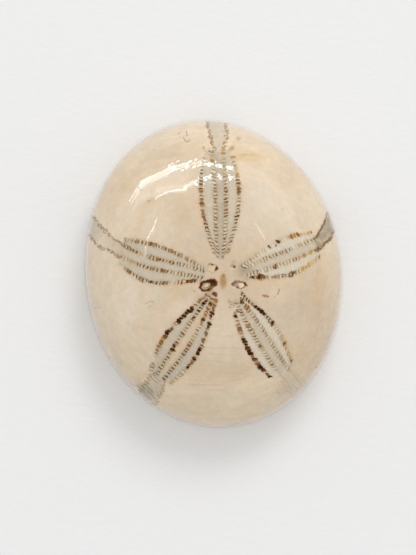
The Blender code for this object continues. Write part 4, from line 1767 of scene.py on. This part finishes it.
@dataclass(frozen=True)
class StoneFinish:
    """Polished cream calcite with grey plates, stained pores, hair cracks and blooms of iron, and painted
    light and shade: a paler rim, paler and darker patches, a painted reflection, a sheen and glints.
    """

    body: Triple = (0.62, 0.492, 0.345)
    warm: Triple = (0.63, 0.48, 0.31)
    pink: Triple = (0.65, 0.51, 0.37)
    cool: Triple = (0.60, 0.49, 0.36)
    # Painted light: the paler colour towards the margin, which makes up for the shade on the flanks.
    rim: Triple = (0.775, 0.628, 0.45)
    bead: Triple = (0.72, 0.61, 0.44)
    line: Triple = (0.2, 0.115, 0.045)
    ridge: Triple = (0.36, 0.31, 0.22)
    mottle: float = 0.055
    patches: Grain = Grain(1.4, 3.0)
    patch_range: Pair = (0.72, 1.3)
    frost: Grain = Grain(2.6, 4.0, 0.7)
    frost_range: Pair = (0.76, 1.24)
    flush: Grain = Grain(0.9, 3.0, 0.6, 60)
    flush_edge: Pair = (0.45, 0.7)
    flush_share: float = 0.5
    stain_and_light_edge: Pair = (0.5, 0.9)
    plate_share: float = 0.95
    ridge_edge: Pair = (0.1, 1.0)
    ridge_share: float = 0.1
    tooth_pitch: float = 0.95
    tooth_swing: float = 0.2
    line_share: float = 0.85
    fray: Grain = Grain(3.0)
    fray_reach: float = 1.6
    streak_edge: Pair = (1.3, 0.5)
    smooth_roughness: float = 0.2
    dull_roughness: float = 0.32
    pore_roughness: float = 0.15
    bare_line: float = 0.6
    dark_edge: Pair = (0.1, 0.36)
    matt_loss: float = -0.85
    coat_roughness: float = 0.05
    specular: float = 0.05
    wall_height: float = 0.35
    ridge_height: float = 0.2
    relief: float = 0.03

    def ground(self, graph: Graph, place: Wire) -> Wire:
        """Returns the colour of the stone and its plates, with the painted light and shade of the paler rim
        and of some patches, without pores and stains.
        """
        stone = graph.group(
            CloudedStone().tree(),
            Place=place,
            Run=graph.value("band_run"),
            Body=self.body,
            Warm=self.warm,
            Pink=self.pink,
            Cool=self.cool,
            Rim=self.rim,
            Mottle=self.mottle,
        )
        # Patches of stain and of painted light and shade: paler flanks and margins, a darker crown and right
        # flank, a painted reflection, a sheen and glints.
        tint, cover = graph.colour("stain_and_light")
        patches = graph.span(graph.noise(place, self.patches), *self.patch_range)
        stained = graph.math("MULTIPLY", cover, patches, clamp=True)
        colour = graph.mix(stained, stone["Color"], graph.tinted(tint, stone["Shade"]))
        plate, share = graph.colour("grey_plates")
        plate = graph.tinted(plate, graph.span(graph.noise(place, self.frost), *self.frost_range))
        flushed = graph.step(*self.flush_edge, graph.noise(place, self.flush)) * self.flush_share
        plate = graph.mix(flushed, plate, stone["Color"])
        bare = 1.0 - graph.step(*self.stain_and_light_edge, cover)
        return graph.mix(share * bare * self.plate_share, colour, plate)

    def ridges(self, graph: Graph) -> Wire:
        """Returns the mask of the low ridges between the pores of a pair."""
        crest = graph.math("COSINE", graph.value("pore_phase") * FULL_TURN)
        return graph.step(*self.ridge_edge, crest) * graph.value("pore_pair")

    def edge(self, graph: Graph, place: Wire) -> Wire:
        """Returns the mask of the lines along the bands."""
        line = graph.group(
            WavyEdge().tree(),
            Place=place,
            Outside=graph.value("band_outside"),
            Run=graph.value("band_run"),
            Pitch=self.tooth_pitch,
            Swing=self.tooth_swing,
        )
        return line["Mask"] * graph.value("band_line") * self.line_share

    def streaked(self, graph: Graph, place: Wire, colour: Wire) -> Wire:
        """Returns a colour with the streaks drawn on it."""
        tint, strength = graph.colour("streak")
        gap = graph.value("streak_gap") + graph.swing(place, self.fray, self.fray_reach)
        return graph.mix(graph.step(*self.streak_edge, gap) * strength, colour, tint)

    def pores(self, graph: Graph, place: Wire, ground: Wire) -> dict[str, Wire]:
        """Returns the colour, the cover and the height of the rows of pores on their ground."""
        tone, bars = graph.colour("pore_tone")
        return graph.group(
            PoreChain().tree(),
            Place=place,
            Reach=graph.value("pore_reach"),
            Phase=graph.value("pore_phase"),
            Row=graph.value("pore_row"),
            Ground=ground,
            Bead=self.bead,
            Tone=tone,
            Bars=bars,
            Fill=graph.value("pore_fill"),
        )

    def coat(self, graph: Graph, pores: dict[str, Wire], edge: Wire) -> Wire:
        """Returns how well each place took the polish: stains, dark spots and pits took little."""
        bare = 1.0 - graph.math("MAXIMUM", pores["Cover"], edge * self.bare_line)
        light = graph.out("ShaderNodeRGBToBW", {0: pores["Color"]})
        bare = bare * graph.step(*self.dark_edge, light)
        return bare * graph.math("MULTIPLY_ADD", graph.value("matt"), self.matt_loss, 1.0)

    def material(self) -> bpy.types.Material:
        """Returns the stone's material."""
        material, graph, shader = blank_material("polished_calcite")
        place = graph.place()
        ridges = self.ridges(graph)
        edge = self.edge(graph, place)
        colour = graph.mix(ridges * self.ridge_share, self.ground(graph, place), self.ridge)
        colour = self.streaked(graph, place, graph.glaze(edge, colour, self.line))
        pores = self.pores(graph, place, colour)
        polish = graph.group(
            WornPolish().tree(),
            Place=place,
            Smooth=self.smooth_roughness,
            Dull=self.dull_roughness,
            Pits=graph.value("pore_pair"),
        )
        height = pores["Height"] * self.wall_height + ridges * self.ridge_height + polish["Height"]
        graph.feed(shader.inputs["Base Color"], pores["Color"])
        graph.feed(shader.inputs["Roughness"], polish["Roughness"] + pores["Cover"] * self.pore_roughness)
        graph.feed(shader.inputs["Coat Weight"], self.coat(graph, pores, edge))
        graph.feed(shader.inputs["Coat Roughness"], self.coat_roughness)
        graph.feed(shader.inputs["Specular IOR Level"], self.specular)
        graph.feed(shader.inputs["Normal"], graph.bump(height, self.relief))
        return material


@dataclass(frozen=True)
class PaperFinish:
    """Matt white paper with a faint embossing."""

    colour: Triple = (0.785, 0.785, 0.785)
    fibre: Grain = Grain(0.8, 4.0, 0.6, stretch=(0.6, 1.6, 1.0))
    shade_range: Pair = (0.985, 1.015)
    roughness: float = 0.7
    specular: float = 0.2
    relief: float = 0.05

    def material(self) -> bpy.types.Material:
        """Returns the paper's material."""
        material, graph, shader = blank_material("white_paper")
        fibre = graph.noise(graph.place(), self.fibre)
        shade = graph.span(fibre, *self.shade_range)
        graph.feed(shader.inputs["Base Color"], graph.tinted(self.colour, shade))
        graph.feed(shader.inputs["Roughness"], self.roughness)
        graph.feed(shader.inputs["Specular IOR Level"], self.specular)
        graph.feed(shader.inputs["Normal"], graph.bump(fibre, self.relief))
        return material


# Studio


@dataclass(frozen=True)
class Table:
    """The pale table top that the fossil lies on."""

    half: float = 1.5
    drop: float = 0.02

    def build(self) -> bpy.types.Object:
        """Returns the table top."""
        bm = bmesh.new()
        level = Matrix.Translation((0, 0, -self.drop * MM))
        bmesh.ops.create_grid(bm, x_segments=4, y_segments=4, size=self.half, matrix=level)
        mesh = bpy.data.meshes.new("table_top")
        bm.to_mesh(mesh)
        bm.free()
        mesh.materials.append(PaperFinish().material())
        table = add_object("table_top", mesh)
        return table


@dataclass(frozen=True)
class Lamp:
    """One flat lamp over the table.

    Args:
        name: Its name.
        centre: Its middle in metres.
        size: Its length and width in metres.
        turn_deg: Direction of its length in plan, while it faces straight down.
        shine: How bright it looks.
        mirrored: Whether it only shows in the polish. Otherwise it faces the stone and only lights it.
    """

    name: str
    centre: Triple
    size: Pair
    turn_deg: float
    shine: float
    mirrored: bool = True

    def build(self) -> bpy.types.Object:
        """Returns the lamp."""
        data = bpy.data.lights.new(self.name, "AREA")
        data.shape = "RECTANGLE"
        data.size, data.size_y = self.size
        data.energy = self.shine * 4 * self.size[0] * self.size[1]
        lamp = add_object(self.name, data)
        turn = Matrix.Rotation(math.radians(self.turn_deg), 4, "Z")
        if not self.mirrored:
            turn = Vector(self.centre).to_track_quat("Z", "Y").to_matrix().to_4x4()
        lamp.matrix_world = Matrix.Translation(self.centre) @ turn
        lamp.visible_diffuse = not self.mirrored
        lamp.visible_glossy = self.mirrored
        return lamp


@dataclass(frozen=True)
class Studio:
    """A soft dome of light that is brighter towards the front, thin bright bars, and the camera overhead."""

    fill: float = 0.6
    tint: Triple = (1.0, 1.0, 0.995)
    slope: float = 0.25
    bright_turn_deg: float = 72.0
    bright_lift_deg: float = 18.0
    distance: float = 1.5
    focus_height: float = 6.4
    frame_height: float = 83.43
    frame_centre: Pair = (-0.857, -0.586)
    sensor: float = 36.0
    clip: Pair = (0.05, 10.0)
    lamps: tuple[Lamp, ...] = (
        Lamp("overhead", (0.0, 0.0, 1.6), (0.2, 0.2), 0, 40.0, False),
        Lamp("key", (0.26, 0.73, 0.92), (0.5, 0.5), 0, 4.0, False),
        Lamp("glow_wide", (-1.3, 1.32, 1.03), (1.35, 0.42), 0, 2.8),
        Lamp("glow_middle", (-1.2, 1.33, 1.02), (1.15, 0.27), 0, 3.4),
        Lamp("glow_narrow", (-1.15, 1.37, 1.0), (1.0, 0.15), 0, 2.6),
        Lamp("upper_bar_tail", (-2.05, 1.32, 0.99), (0.4, 0.08), 4, 7.0),
        Lamp("upper_bar_left", (-0.47, 1.24, 0.98), (0.32, 0.14), -6, 12.0),
        Lamp("upper_bar_right", (0.05, 1.24, 0.97), (0.78, 0.13), 2, 14.0),
        Lamp("lower_glow", (-0.56, 0.8, 1.03), (0.62, 0.13), -4, 1.6),
        Lamp("lower_bar_left", (-0.52, 0.73, 1.0), (0.54, 0.03), 4, 7.5),
        Lamp("lower_bar_middle", (-0.2, 0.8, 0.99), (0.2, 0.03), 17, 8.0),
        Lamp("lower_bar_right", (0.15, 0.875, 0.98), (0.6, 0.032), 17, 22.0),
        Lamp("pane", (-0.95, 1.03, 1.05), (1.4, 0.45), 0, 1.3),
        Lamp("faint_pane", (1.35, 1.3, 1.07), (1.6, 1.4), 0, 0.6),
        Lamp("left_streak", (-0.7, 0.285, 1.0), (0.34, 0.014), 62, 9.0),
        Lamp("right_streak", (0.505, 0.345, 1.0), (0.16, 0.02), -54, 3.0),
    )

    def world(self) -> None:
        """Lights the scene softly from all round, more from the front than from the rear."""
        world = bpy.data.worlds.new("soft_room")
        world.use_nodes = True
        graph = Graph(world.node_tree)
        way = graph.out("ShaderNodeTexCoord", {}, "Generated")
        turn, lift = math.radians(self.bright_turn_deg), math.radians(self.bright_lift_deg)
        bright = (math.cos(turn) * math.cos(lift), math.sin(turn) * math.cos(lift), math.sin(lift))
        facing = graph.out("ShaderNodeVectorMath", {0: way, 1: bright}, "Value", operation="DOT_PRODUCT")
        back = world.node_tree.nodes["Background"]
        graph.feed(back.inputs["Color"], self.tint)
        graph.feed(back.inputs["Strength"], facing * (self.slope * self.fill) + self.fill)
        bpy.context.scene.world = world

    def camera(self) -> bpy.types.Object:
        """Returns the camera, straight above the table."""
        data = bpy.data.cameras.new("overhead")
        data.sensor_fit = "AUTO"
        data.sensor_width = self.sensor
        data.lens = self.sensor * (self.distance / MM - self.focus_height) / self.frame_height
        data.clip_start, data.clip_end = self.clip
        camera = add_object("overhead", data)
        x, y = self.frame_centre
        camera.location = (x * MM, y * MM, self.distance)
        bpy.context.scene.camera = camera
        return camera

    def build(self) -> None:
        """Sets up the fill, the lamps and the camera."""
        self.world()
        for lamp in self.lamps:
            lamp.build()
        self.camera()
        bpy.context.scene.view_settings.view_transform = "Standard"


def main() -> None:
    """Builds each piece in order, and logs the size of each."""
    logging.basicConfig(level=logging.INFO, format="%(name)s: %(message)s")
    stone = SandDollar().build()
    LOG.info("%s: %d triangles", stone.name, len(stone.data.polygons))
    table = Table().build()
    LOG.info("%s: %d faces", table.name, len(table.data.polygons))
    studio = Studio()
    studio.build()
    LOG.info("studio: %d lamps", len(studio.lamps))


if __name__ == "__main__":
    main()
